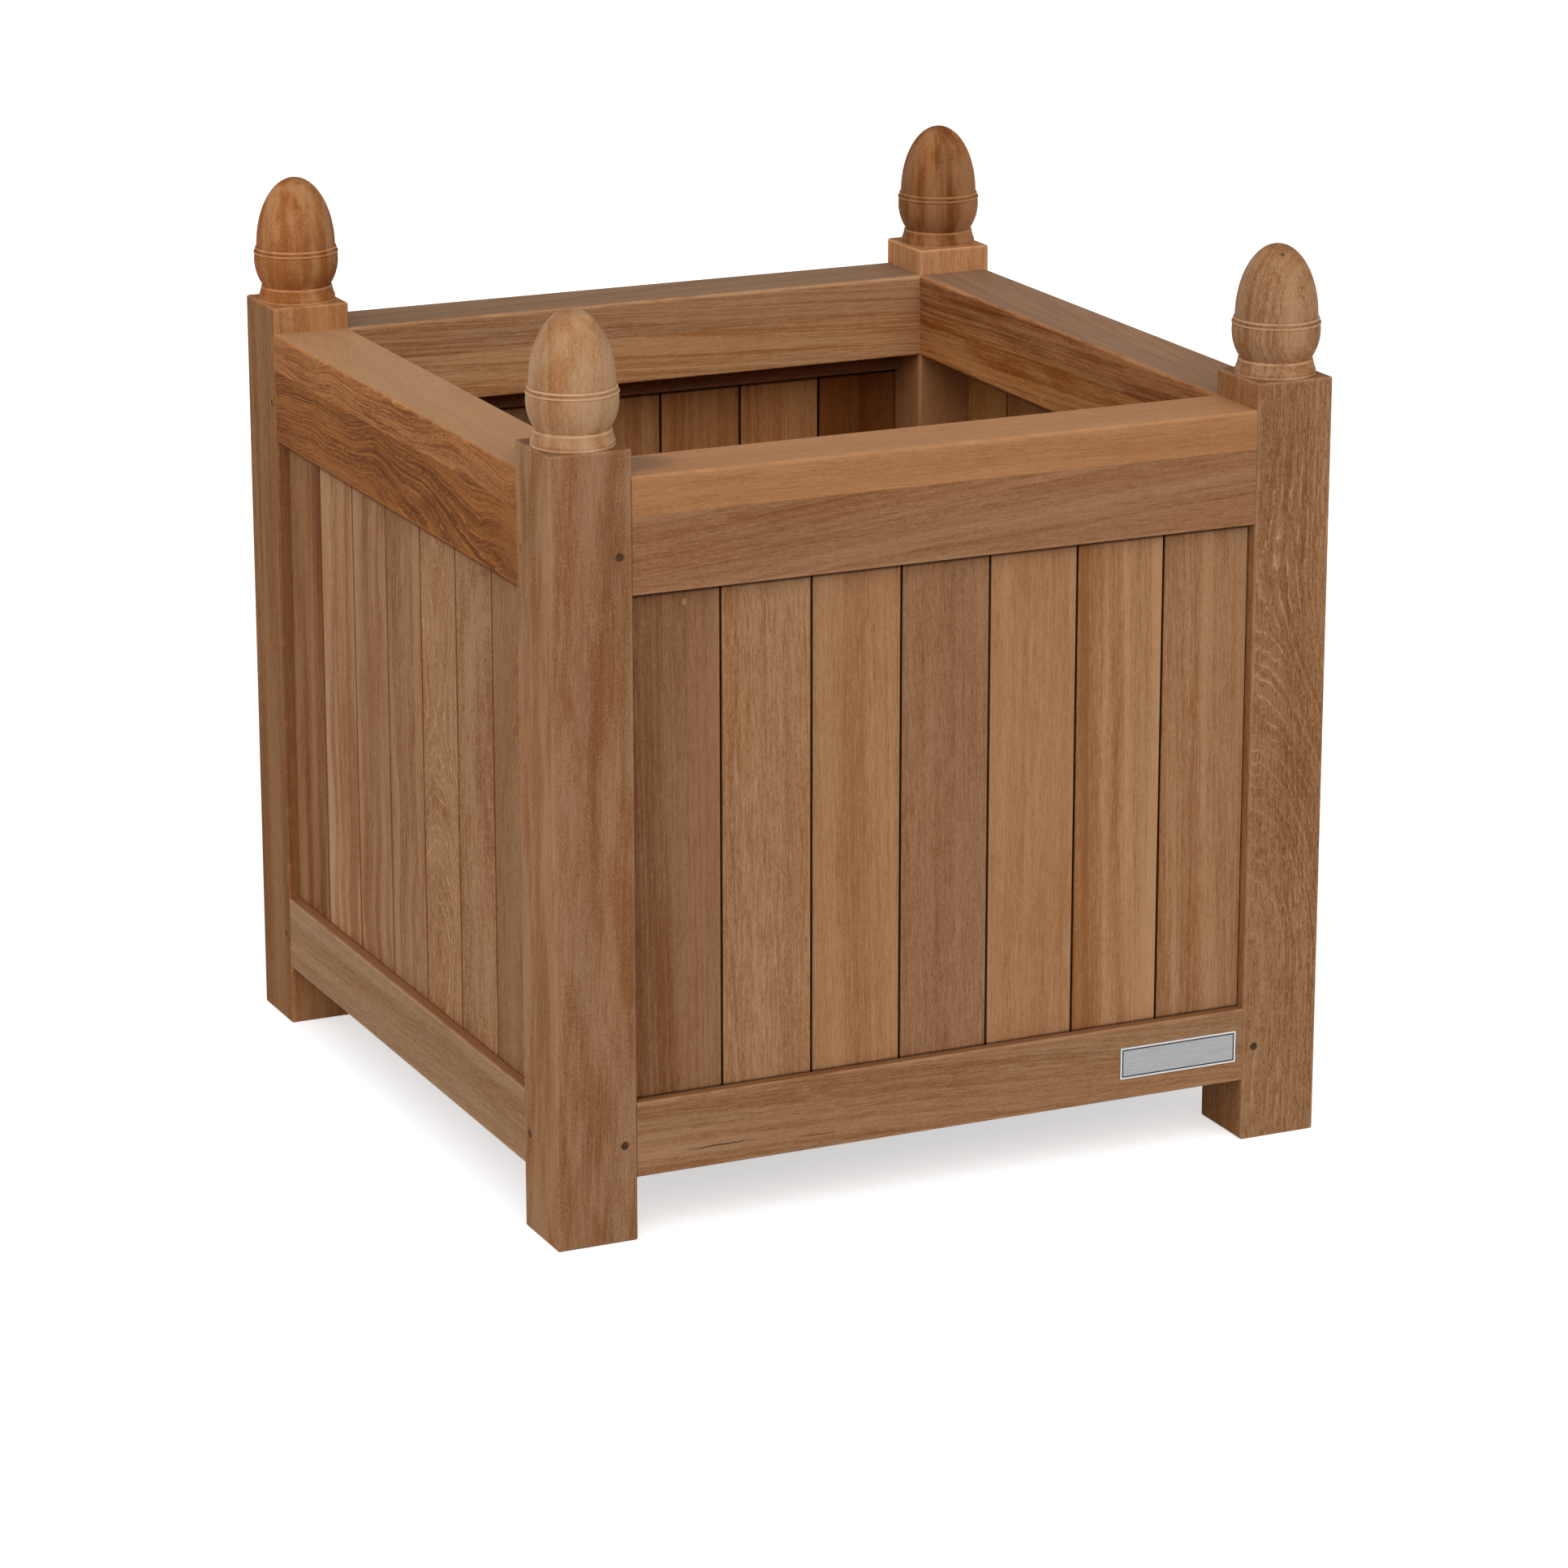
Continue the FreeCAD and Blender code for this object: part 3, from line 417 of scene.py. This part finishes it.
def add_mark(graph, colour, place, half, face, centre, half_size, tint, strength, blend="MIX"):
    """An uneven knot, dash, stain or tint on one face of a board, or on a turned front; some are
    painted shade or light.
    """
    across, depth, along = place
    beside = depth if face == "top" else across
    if face == "top":
        outside = graph.ramp(across, half[0] - 3 * MM, half[0] - MM)
    elif face == "near":
        outside = graph.ramp(depth, MM - half[1], 3 * MM - half[1], 1.0, 0.0)
    else:
        outside = graph.ramp(depth, -MM, 0.0, 1.0, 0.0)
    bend = graph.noise(graph.join(0.0, 0.0, along), (1, 1, 55), 2.0)
    ragged = graph.noise(graph.join(beside, 0.0, along), (900, 1, 500), 2.0)
    from_beside = graph.math(
        "ADD", graph.math("SUBTRACT", beside, centre[0] * MM),
        graph.centred(bend, 0.16 * half_size[1] * MM))
    from_beside = graph.math("DIVIDE", from_beside, half_size[0] * MM)
    from_along = graph.math("SUBTRACT", along, centre[1] * MM)
    from_along = graph.math("DIVIDE", from_along, half_size[1] * MM)
    reach = graph.length(graph.join(from_beside, from_along, 0.0))
    reach = graph.math("ADD", reach, graph.centred(ragged, 1.1))
    share = graph.math("MULTIPLY", graph.ramp(reach, 0.45, 1.05, 1.0, 0.0), strength)
    return graph.mix(graph.math("MULTIPLY", share, outside), colour, linear(tint), blend)


def add_bead_wear_and_highlights(graph, colour, coordinates, ground):
    """The thin turned edges of a finial are lighter all the way round: partly rubbed wear, partly
    a painted highlight on the beads.
    """
    height = graph.split(coordinates)[2]
    uneven = graph.ramp(graph.noise(coordinates, (120, 120, 60), 2.0), 0.3, 0.6, 0.45, 1.0)
    pale = tuple(min(1.0, channel * 1.45) for channel in ground[:3]) + (1.0,)
    for middle, reach in FINIAL_EDGES:
        away = graph.math("ABSOLUTE", graph.math("SUBTRACT", height, (POST_TOP + middle) * MM))
        share = graph.ramp(away, 0.2 * reach * MM, reach * MM, 0.75, 0.0)
        colour = graph.mix(graph.math("MULTIPLY", share, uneven), colour, pale)
    return colour


# Settings that go to the group as they are, and those in millimetres
SHARES = (
    "warm", "tilt", "rings", "bands", "lines", "streaks", "fibres", "flecks", "specks", "blotches",
    "pale_rings", "wear", "side_contrast", "bleach", "gap",
)
LENGTHS = ("swirl", "wander", "wobble", "ring_width", "gap_reach")


def make_teak(name, axes, middle, half, tone, cut, seed, **changes):
    """A teak material for one board, in world coordinates about the board's middle."""
    settings = {**STRAIGHT, **CUTS[cut], **changes}
    material, graph, shader = start_material(name)
    order = ["XYZ".index(axis) for axis in axes]
    coordinates = graph.add("ShaderNodeTexCoord").outputs["Object"]
    place = graph.split(graph.vector("SUBTRACT", coordinates, tuple(middle)))
    facing = graph.split(graph.add("ShaderNodeNewGeometry").outputs["Normal"])
    grain = graph.add("ShaderNodeGroup", node_tree=teak_group)
    ground, line = (
        [channel * share for channel, share in zip(colour, settings["tint"])]
        for colour in TONES[tone])
    spot = graph.join(*(place[index] for index in order))
    board_half = tuple(half[index] for index in order)
    given = {
        "Place": spot,
        "Facing": graph.join(*(facing[index] for index in order)),
        "Half Size": board_half,
        "Seed": seed,
        "Ground": linear(ground),
        "Line": linear(line),
        "Pith": (*(value * MM for value in settings["pith"]), 0.0),
        "Lean": (*settings["lean"], 0.0),
        "Knee": tuple(value * MM for value in settings["knee"]),
        "Side Tint": (*settings["side_tint"], 1.0),
        "Upward": facing["Z"],
        "Top Tone And Shade": linear(settings["top_tone_and_shade"]),
        "Shade Tint": linear(settings["shade_tint"]),
        "Ends": (
            LOWER_RAIL_TOP * MM - middle[2],
            (TOP_RAIL_BOTTOM - settings["shaded"]) * MM - middle[2], 0.0),
    }
    for key in SHARES:
        given[key.replace("_", " ").title()] = settings[key]
    for key in LENGTHS:
        given[key.replace("_", " ").title()] = settings[key] * MM
    for socket, value in given.items():
        graph.feed(grain.inputs[socket], value)
    colour = grain.outputs["Color"]
    for mark in settings["marks"]:
        colour = add_mark(graph, colour, graph.split(spot), board_half, *mark)
    if settings["beads"]:
        colour = add_bead_wear_and_highlights(graph, colour, coordinates, linear(ground))
    graph.feed(shader.inputs["Base Color"], colour)
    graph.feed(shader.inputs["Roughness"], grain.outputs["Roughness"])
    shader.inputs["Specular IOR Level"].default_value = 0.03
    add_bump(graph, shader, grain.outputs["Height"], 0.35, 0.25 * MM)
    return material


def dress(name, material):
    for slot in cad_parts[name].material_slots:
        slot.material = material


def middle_and_half(name):
    low, high = (Vector(corner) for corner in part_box(name))
    return (low + high) / 2, (high - low) / 2


# Boards that the photo shows, by node: tone, cut, and what differs from that cut
BOARDS = {
    # Its side tint lightens and warms the left face: painted light
    "post_front_left": (
        "rosy", "slanted", {
            "fibres": 0.34, "specks": 0.45, "lines": 0.12, "streaks": 0.08, "bands": 0.3,
            "blotches": 0.45, "warm": 1.0, "side_contrast": 0.2, "wear": 0.25,
            "side_tint": (1.11, 1.08, 0.96), "tint": (0.995, 1.01, 1.03)}),
    "post_front_right": ("rosy", "flecked", {
        "tint": (0.99, 0.99, 0.95), "side_tint": (1.06, 0.97, 0.84)}),
    "post_rear_left": (
        "bright", "straight", {
            "side_tint": (0.57, 0.55, 0.51), "side_contrast": 1.0, "lines": 0.3, "wear": 0.2}),
    "post_rear_right": ("sunlit", "straight", {}),
    "finial_front_left": ("pale", "turned", {
        "bands": 0.65, "lines": 0.15, "tint": (1.02, 1.03, 1.04)}),
    "finial_front_right": ("tan", "turned", {
        "pith": (-40, 60), "bands": 0.35, "fibres": 0.5, "blotches": 0.4,
        "tint": (1.02, 1.04, 1.07)}),
    "finial_rear_left": ("honey", "turned", {
        "lines": 0.2, "blotches": 1.0, "bands": 0.45, "specks": 0.5, "tint": (0.99, 0.98, 0.96)}),
    "finial_rear_right": ("rosy", "turned", {
        "rings": 0.4, "blotches": 0.9, "bands": 1.2, "tint": (0.98, 0.92, 0.83)}),
    "top_rail_front_upper_stave": ("honey", "plain", {"bleach": 0.3, "specks": 0.2}),
    "top_rail_front_lower_stave": (
        "rosy", "lined", {
            "bands": 0.35, "rings": 1.5, "fibres": 0.34, "specks": 0.2, "lean": (-0.10, -0.02),
            "tint": (1.02, 1.01, 1.0)}),
    "top_rail_left_upper_stave": (
        "amber", "flame", {
            "bleach": 1.0, "rings": 0.6, "pith": (-90, 60), "tint": (1.04, 1.01, 1.0)}),
    "top_rail_left_lower_stave": ("rust", "flame", {"tint": (1.0, 0.965, 0.89)}),
    # Its top face takes a darker grey: painted shade and sheen
    "top_rail_rear_upper_stave": (
        "golden", "lined", {
            "rings": 1.1, "bleach": 1.0, "top_tone_and_shade": (112, 90, 71), "lines": 0.6,
            "tint": (1.03, 1.03, 1.03)}),
    "top_rail_rear_lower_stave": (
        "bright", "lined", {"rings": 1.1, "lines": 0.6, "tint": (1.04, 1.08, 1.13)}),
    # Its top face takes a darker grey: painted shade and sheen
    "top_rail_right_upper_stave": (
        "amber", "lined", {
            "bleach": 1.0, "top_tone_and_shade": (138, 112, 90), "lines": 0.6, "rings": 0.7, "blotches": 0.4,
            "tint": (1.08, 1.09, 1.15)}),
    "top_rail_right_lower_stave": (
        "copper", "lined", {
            "lines": 0.5, "rings": 1.0, "bands": 0.6, "blotches": 0.5, "tint": (1.02, 1.06, 1.2)}),
    "lower_rail_front": (
        "rosy", "lined", {
            "rings": 0.35, "lines": 0.3, "bands": 0.3, "bleach": 0.7, "top_tone_and_shade": (120, 70, 36),
            "tint": (1.02, 1.04, 1.03)}),
    "lower_rail_left": ("tan", "straight", {
        "bleach": 0.9, "top_tone_and_shade": (148, 90, 48), "tint": (0.985, 1.02, 1.04)}),
    # Its tilt darkens it towards the front left post: painted shade beside the post
    "slat_front_1": ("umber", "straight", {"bands": 0.3, "fibres": 0.3, "tilt": 0.38}),
    "slat_front_2": ("tan", "speckled", {}),
    "slat_front_3": ("golden", "straight", {
        "fibres": 0.36, "lines": 0.16, "tint": (0.98, 0.97, 0.96)}),
    "slat_front_4": ("rosy", "speckled", {"fibres": 0.42}),
    "slat_front_5": ("golden", "plain", {}),
    "slat_front_6": ("golden", "banded", {"bands": 0.7, "tilt": 0.3}),
    "slat_front_7": ("tan", "straight", {"bands": 0.5, "tilt": 0.18}),
    "slat_left_1": ("umber", "banded", {"tilt": 0.2, "tint": (1.03, 1.01, 0.95)}),
    "slat_left_2": ("tan", "banded", {"swirl": 34, "tint": (1.05, 1.06, 1.06)}),
    "slat_left_3": ("tan", "straight", {"swirl": 30, "tint": (0.99, 0.98, 0.97)}),
    "slat_left_4": ("rosy", "banded", {
        "swirl": 24, "pale_rings": 0.5, "ring_width": 3, "fibres": 0.7, "specks": 0.4,
        "tint": (1.04, 1.05, 1.02)}),
    "slat_left_5": ("tan", "flecked", {
        "pith": (6, 66), "knee": (-34, -150, 50), "ring_width": 2.4, "rings": 0.2, "bands": 0.7,
        "pale_rings": 1.5, "lines": 0.2, "fibres": 0.95, "specks": 0.8,
        "tint": (0.985, 0.97, 0.94)}),
    "slat_left_6": ("tan", "flecked", {
        "knee": (-36, 80, 220), "rings": 0.2, "bands": 0.6, "pale_rings": 0.4, "lines": 0.2,
        "fibres": 0.95, "specks": 0.8, "blotches": 0.35, "tint": (0.985, 0.98, 0.975)}),
    "slat_left_7": ("rosy", "flecked", {
        "knee": (-36, -20, 180), "rings": 0.2, "bands": 0.5, "pale_rings": 0.6, "lines": 0.2,
        "fibres": 0.65, "tint": (0.96, 0.945, 0.895)}),
    "slat_right_5": ("umber", "straight", {"tint": (1.03, 0.99, 0.94)}),
    "slat_right_6": ("tan", "straight", {"tint": (1.03, 0.99, 0.95)}),
    "slat_right_7": ("tan", "slanted", {"tint": (1.0, 0.96, 0.92)}),
    "slat_batten_rear": ("umber", "straight", {"tint": (0.98, 0.96, 0.95)}),
    "slat_rear_1": ("umber", "plain", {"tint": (1.02, 0.97, 0.92)}),
    "slat_rear_2": ("bright", "lined", {"tint": (1.01, 1.0, 0.97)}),
    "slat_rear_3": ("honey", "straight", {"tint": (1.0, 0.97, 0.9)}),
    "slat_rear_4": ("honey", "banded", {"tint": (1.04, 1.03, 0.98)}),
}

# Spots that stand out on single boards: face, place and half size (beside, along), tint,
# strength. The near face looks to -Y or -X: outwards at the front and left, inwards elsewhere
MARKS = {
    "slat_front_1": (("near", (8, 182), (2.4, 3.4), (186, 140, 112), 0.7),),
    "lower_rail_front": (
        ("near", (-14, -190), (0.8, 34), (58, 36, 20), 0.8),
        ("near", (-18, -110), (0.7, 22), (58, 36, 20), 0.6),
    ),
    "post_front_left": (
        ("near", (14, 236), (6, 62), (116, 76, 52), 0.4),
        ("near", (-9, 128), (5, 120), (122, 82, 56), 0.3),
    ),
    "finial_front_right": (("round", (-4, 44), (1.8, 1.4), (70, 40, 24), 0.8),),
    # Painted light: the post's front face inside the box is mixed towards orange, as warm light
    # bounced between the boards
    "post_rear_right": (("near", (0, 150), (60, 120), (168, 118, 70), 0.4),),
    # Painted shade: the inner face of this rear slat is darkened and reddened, as the deep shade
    # inside the box
    "slat_rear_1": (("near", (0, 0), (120, 700), (222, 196, 152), 1.0, "MULTIPLY"),),
    # Painted light: the inner faces of these two right slats are lighter and warmer, as the warm
    # light bounced inside the box
    "slat_right_6": (("near", (0, 0), (120, 700), (266, 264, 240), 1.0, "MULTIPLY"),),
    "slat_right_7": (("near", (0, 0), (120, 700), (294, 290, 250), 1.0, "MULTIPLY"),),
    "post_rear_left": (("near", (-22, 0), (26, 330), (104, 60, 28), 0.55),),
    "top_rail_front_upper_stave": (("top", (8, -244), (32, 42), (112, 90, 68), 0.6),),
    "top_rail_left_lower_stave": (("near", (0, -250), (48, 34), (162, 106, 58), 0.3),),
    "top_rail_left_upper_stave": (("near", (0, -250), (36, 28), (166, 108, 58), 0.25),),
}

# The left slats are seen at a slant, and the rear ones mostly from inside
SLAT_CHANGES = {
    "left": {
        "fibres": 0.5, "lines": 0.2, "streaks": 0.12, "gap_reach": 1.3, "shade_tint": (112, 62, 30),
        "shaded": 6.0, "bands": 1.1, "blotches": 0.2, "warm": 0.3, "tint": (1.04, 1.045, 1.02),
    },
    "rear": {"gap_reach": 1.0, "streaks": 0.4},
}

# Other boards take a tone and a cut by lot, always the same ones
OTHER_TONES = ("golden", "tan", "rosy", "umber", "grey", "honey")
OTHER_CUTS = ("straight", "speckled", "banded", "slanted", "lined", "arched", "plain")
LOT_SEED = 28
SEED_STEP = 1.37
lots = random.Random(LOT_SEED)

boards = []
for corner in CORNERS:
    boards.append((f"post_{corner}", POST_AXES))
    boards.append((f"finial_{corner}", POST_AXES))
for side in SIDES:
    for stave in ("upper", "lower"):
        boards.append((f"top_rail_{side}_{stave}_stave", RAIL_AXES[side]))
    boards.append((f"lower_rail_{side}", RAIL_AXES[side]))
    boards.append((f"slat_batten_{side}", RAIL_AXES[side]))
    for number in range(1, SLATS_PER_SIDE + 1):
        boards.append((f"slat_{side}_{number}", SLAT_AXES[side]))
for number in range(1, FLOOR_BOARDS + 1):
    boards.append((f"floor_board_{number}", FLOOR_AXES))

for place, (name, axes) in enumerate(boards, 1):
    drawn = (lots.choice(OTHER_TONES), lots.choice(OTHER_CUTS), {})
    tone, cut, changes = BOARDS.get(name, drawn)
    changes = {**changes, "marks": MARKS.get(name, ())}
    middle, half = middle_and_half(name)
    if name.endswith("_stave"):
        # The glued edge between two staves is never rubbed, so for wear it lies further on
        grow = GLUE_EDGE if name.endswith("lower_stave") else -GLUE_EDGE
        middle.z += grow
        half.z += GLUE_EDGE
    if name.startswith("slat_") and "batten" not in name:
        side, number = name.split("_")[1:]
        from_middle = SLAT_PITCH * (int(number) - (SLATS_PER_SIDE + 1) / 2)
        # A slat's box counts its tongue, so its face is centred on the pitch instead
        index = "XYZ".index(axes[0])
        middle[index] = from_middle if side in ("front", "right") else -from_middle
        half[index] = SLAT_HALF_WIDTH
        changes = {"gap": 1.0, "wear": 0.0, **SLAT_CHANGES.get(side, {}), **changes}
    seed = SEED_STEP * place
    dress(name, make_teak(f"teak_{name}", axes, middle, half, tone, cut, seed, **changes))


# Ends of pegs, in millimetres, that were cut from the posts' wood and hardly show in it
LIGHT_PEG_ENDS = ((-324, -269, 530), (269, -324, 530))
LIGHT_PEG_REACH = 12 * MM


def make_peg_wood():
    """Dark, dry end grain of the pegs, with a few open pores; two ends are light."""
    material, graph, shader = start_material("peg_end_grain")
    place = graph.add("ShaderNodeTexCoord").outputs["Object"]
    mottle = graph.noise(place, (700, 700, 700), 3.0, 0.6)
    pores = graph.ramp(graph.noise(place, (2200, 2200, 2200), 1.0), 0.55, 0.68)
    colour = graph.mix(graph.ramp(mottle, 0.3, 0.7), linear((52, 36, 26)), linear((104, 78, 58)))
    colour = graph.mix(graph.math("MULTIPLY", pores, 0.6), colour, linear((30, 19, 13)))
    light = graph.mix(graph.ramp(mottle, 0.3, 0.7), linear((136, 97, 68)), linear((164, 121, 88)))
    for end in LIGHT_PEG_ENDS:
        centre = tuple(value * MM for value in end)
        away = graph.length(graph.vector("SUBTRACT", place, centre))
        share = graph.ramp(away, LIGHT_PEG_REACH, LIGHT_PEG_REACH + 2 * MM, 1.0, 0.0)
        colour = graph.mix(share, colour, light)
    graph.feed(shader.inputs["Base Color"], colour)
    graph.feed(shader.inputs["Roughness"], graph.ramp(mottle, 0.2, 0.8, 0.7, 0.9))
    shader.inputs["Specular IOR Level"].default_value = 0.1
    add_bump(graph, shader, graph.math("SUBTRACT", mottle, pores), 0.5, 0.2 * MM)
    return material


def make_steel():
    """Stainless screws, lightly scratched and dulled."""
    material, graph, shader = start_material("stainless_steel")
    place = graph.add("ShaderNodeTexCoord").outputs["Object"]
    dull = graph.noise(place, (400, 400, 400), 3.0, 0.6)
    scratches = graph.noise(place, (2600, 300, 900), 2.0)
    colour = graph.mix(dull, linear((150, 148, 145)), linear((196, 195, 193)))
    graph.feed(shader.inputs["Base Color"], colour)
    graph.feed(shader.inputs["Roughness"], graph.ramp(scratches, 0.3, 0.7, 0.28, 0.5))
    shader.inputs["Metallic"].default_value = 1.0
    return material


def make_plate_metal():
    """Brushed metal with a painted highlight on its rim, and a border line that is dark where it
    is engraved.
    """
    material, graph, shader = start_material("brushed_plate")
    place = graph.add("ShaderNodeTexCoord").outputs["Object"]
    low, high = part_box("nameplate")
    brushed = graph.noise(place, (40, 900, 5200), 3.0, 0.7)
    cloudy = graph.noise(place, (60, 60, 90), 2.0)
    colour = graph.mix(
        graph.ramp(brushed, 0.25, 0.75), linear((136, 136, 138)), linear((186, 186, 186)))
    colour = graph.mix(graph.math("MULTIPLY", cloudy, 0.3), colour, linear((150, 150, 152)))
    x, _, z = graph.split(place)
    to_side = graph.math(
        "MINIMUM", graph.math("SUBTRACT", x, low[0]), graph.math("SUBTRACT", high[0], x))
    to_level = graph.math(
        "MINIMUM", graph.math("SUBTRACT", z, low[2]), graph.math("SUBTRACT", high[2], z))
    to_edge = graph.math("MINIMUM", to_side, to_level)
    # Painted highlight: the plate's outer edge is lighter, as light caught on its bevelled rim
    rim_highlight = graph.ramp(to_edge, 1.2 * MM, 1.5 * MM, 1.0, 0.0)
    colour = graph.mix(rim_highlight, colour, linear((206, 206, 206)))
    from_line = graph.math("ABSOLUTE", graph.math("SUBTRACT", to_edge, PLATE_LINE))
    engraved = graph.ramp(from_line, PLATE_LINE_HALF, 0.64 * MM, 1.0, 0.0)
    colour = graph.mix(engraved, colour, linear((34, 38, 46)))
    graph.feed(shader.inputs["Base Color"], colour)
    graph.feed(shader.inputs["Roughness"], graph.ramp(brushed, 0.2, 0.8, 0.30, 0.46))
    graph.feed(shader.inputs["Metallic"], graph.ramp(engraved, 0.0, 1.0, 0.85, 0.1))
    add_bump(graph, shader, brushed, 0.2, 0.05 * MM)
    return material


peg_wood = make_peg_wood()
dress("joint_pegs", peg_wood)
dress("finial_dowels", peg_wood)
dress("floor_screws", make_steel())
dress("nameplate", make_plate_metal())


# Pale studio: the floor's half width in metres, its grey in diffuse light and as it is seen,
# the glow that shows it white where it is lit, and the world's light as given and as seen
FLOOR_REACH = 40.0
FLOOR_GREY, FLOOR_SEEN_GREY = 0.72, 0.80
FLOOR_GLOW = 0.585
WORLD_LIGHT, WORLD_SEEN = 0.60, 1.0

# Soft lamps: name, strength, spread, azimuth and elevation in degrees
LAMPS = (("softbox_front", 1.25, 60, -4, 46), ("softbox_left", 0.6, 70, -78, 32))

# The photo's camera, solved from the planter's corners
CAMERA_PLACE = (-1.78729, -3.89715, 1.50701)
CAMERA_TURN = (73.5204, 0.0279, -24.7827)
CAMERA_LENS, SENSOR_WIDTH = 126.689, 36.0


def make_floor():
    """A floor that shows white to the camera where it is lit, and keeps the shadow."""
    reach = FLOOR_REACH
    mesh = bpy.data.meshes.new("studio_floor")
    corners = [(-reach, -reach, 0), (reach, -reach, 0), (reach, reach, 0), (-reach, reach, 0)]
    mesh.from_pydata(corners, [], [(0, 1, 2, 3)])
    floor = bpy.data.objects.new("studio_floor", mesh)
    bpy.context.scene.collection.objects.link(floor)
    material = bpy.data.materials.new("studio_floor")
    material.use_nodes = True
    graph = Graph(material.node_tree)
    graph.tree.nodes.clear()
    rays = graph.add("ShaderNodeLightPath").outputs
    seen = graph.math("MAXIMUM", rays["Is Camera Ray"], rays["Is Glossy Ray"])
    diffuse = graph.add("ShaderNodeBsdfDiffuse")
    greys = [(grey, grey, grey, 1.0) for grey in (FLOOR_GREY, FLOOR_SEEN_GREY)]
    graph.feed(diffuse.inputs["Color"], graph.mix(seen, *greys))
    glow = graph.add("ShaderNodeEmission")
    graph.feed(glow.inputs["Strength"], graph.math("MULTIPLY", seen, FLOOR_GLOW))
    both = graph.add("ShaderNodeAddShader")
    graph.feed(both.inputs[0], diffuse.outputs[0])
    graph.feed(both.inputs[1], glow.outputs[0])
    output = graph.add("ShaderNodeOutputMaterial")
    graph.feed(output.inputs["Surface"], both.outputs[0])
    mesh.materials.append(material)


def make_world():
    """Even light from all round, which the camera sees as white."""
    world = bpy.data.worlds.new("studio")
    bpy.context.scene.world = world
    world.use_nodes = True
    graph = Graph(world.node_tree)
    graph.tree.nodes.clear()
    rays = graph.add("ShaderNodeLightPath").outputs
    seen = graph.math(
        "MAXIMUM", rays["Is Camera Ray"],
        graph.math("MAXIMUM", rays["Is Glossy Ray"], rays["Is Transmission Ray"]))
    background = graph.add("ShaderNodeBackground")
    strength = graph.ramp(seen, 0.0, 1.0, WORLD_LIGHT, WORLD_SEEN)
    graph.feed(background.inputs["Strength"], strength)
    output = graph.add("ShaderNodeOutputWorld")
    graph.feed(output.inputs["Surface"], background.outputs[0])


def make_sun(name, strength, spread, azimuth, elevation):
    """A soft far lamp; azimuth 0 shines from the front and 90 from the right."""
    data = bpy.data.lights.new(name, "SUN")
    data.energy = strength
    data.angle = math.radians(spread)
    lamp = bpy.data.objects.new(name, data)
    turn, rise = math.radians(azimuth), math.radians(elevation)
    towards = Vector((
        math.sin(turn) * math.cos(rise), -math.cos(turn) * math.cos(rise), math.sin(rise)))
    lamp.rotation_euler = towards.to_track_quat("Z", "Y").to_euler()
    bpy.context.scene.collection.objects.link(lamp)


def make_camera():
    data = bpy.data.cameras.new("camera")
    data.sensor_width = SENSOR_WIDTH
    data.lens = CAMERA_LENS
    camera = bpy.data.objects.new("camera", data)
    camera.location = CAMERA_PLACE
    camera.rotation_euler = [math.radians(angle) for angle in CAMERA_TURN]
    bpy.context.scene.collection.objects.link(camera)
    bpy.context.scene.camera = camera


make_floor()
make_world()
for lamp in LAMPS:
    make_sun(*lamp)
make_camera()
bpy.context.scene.view_settings.view_transform = "Standard"
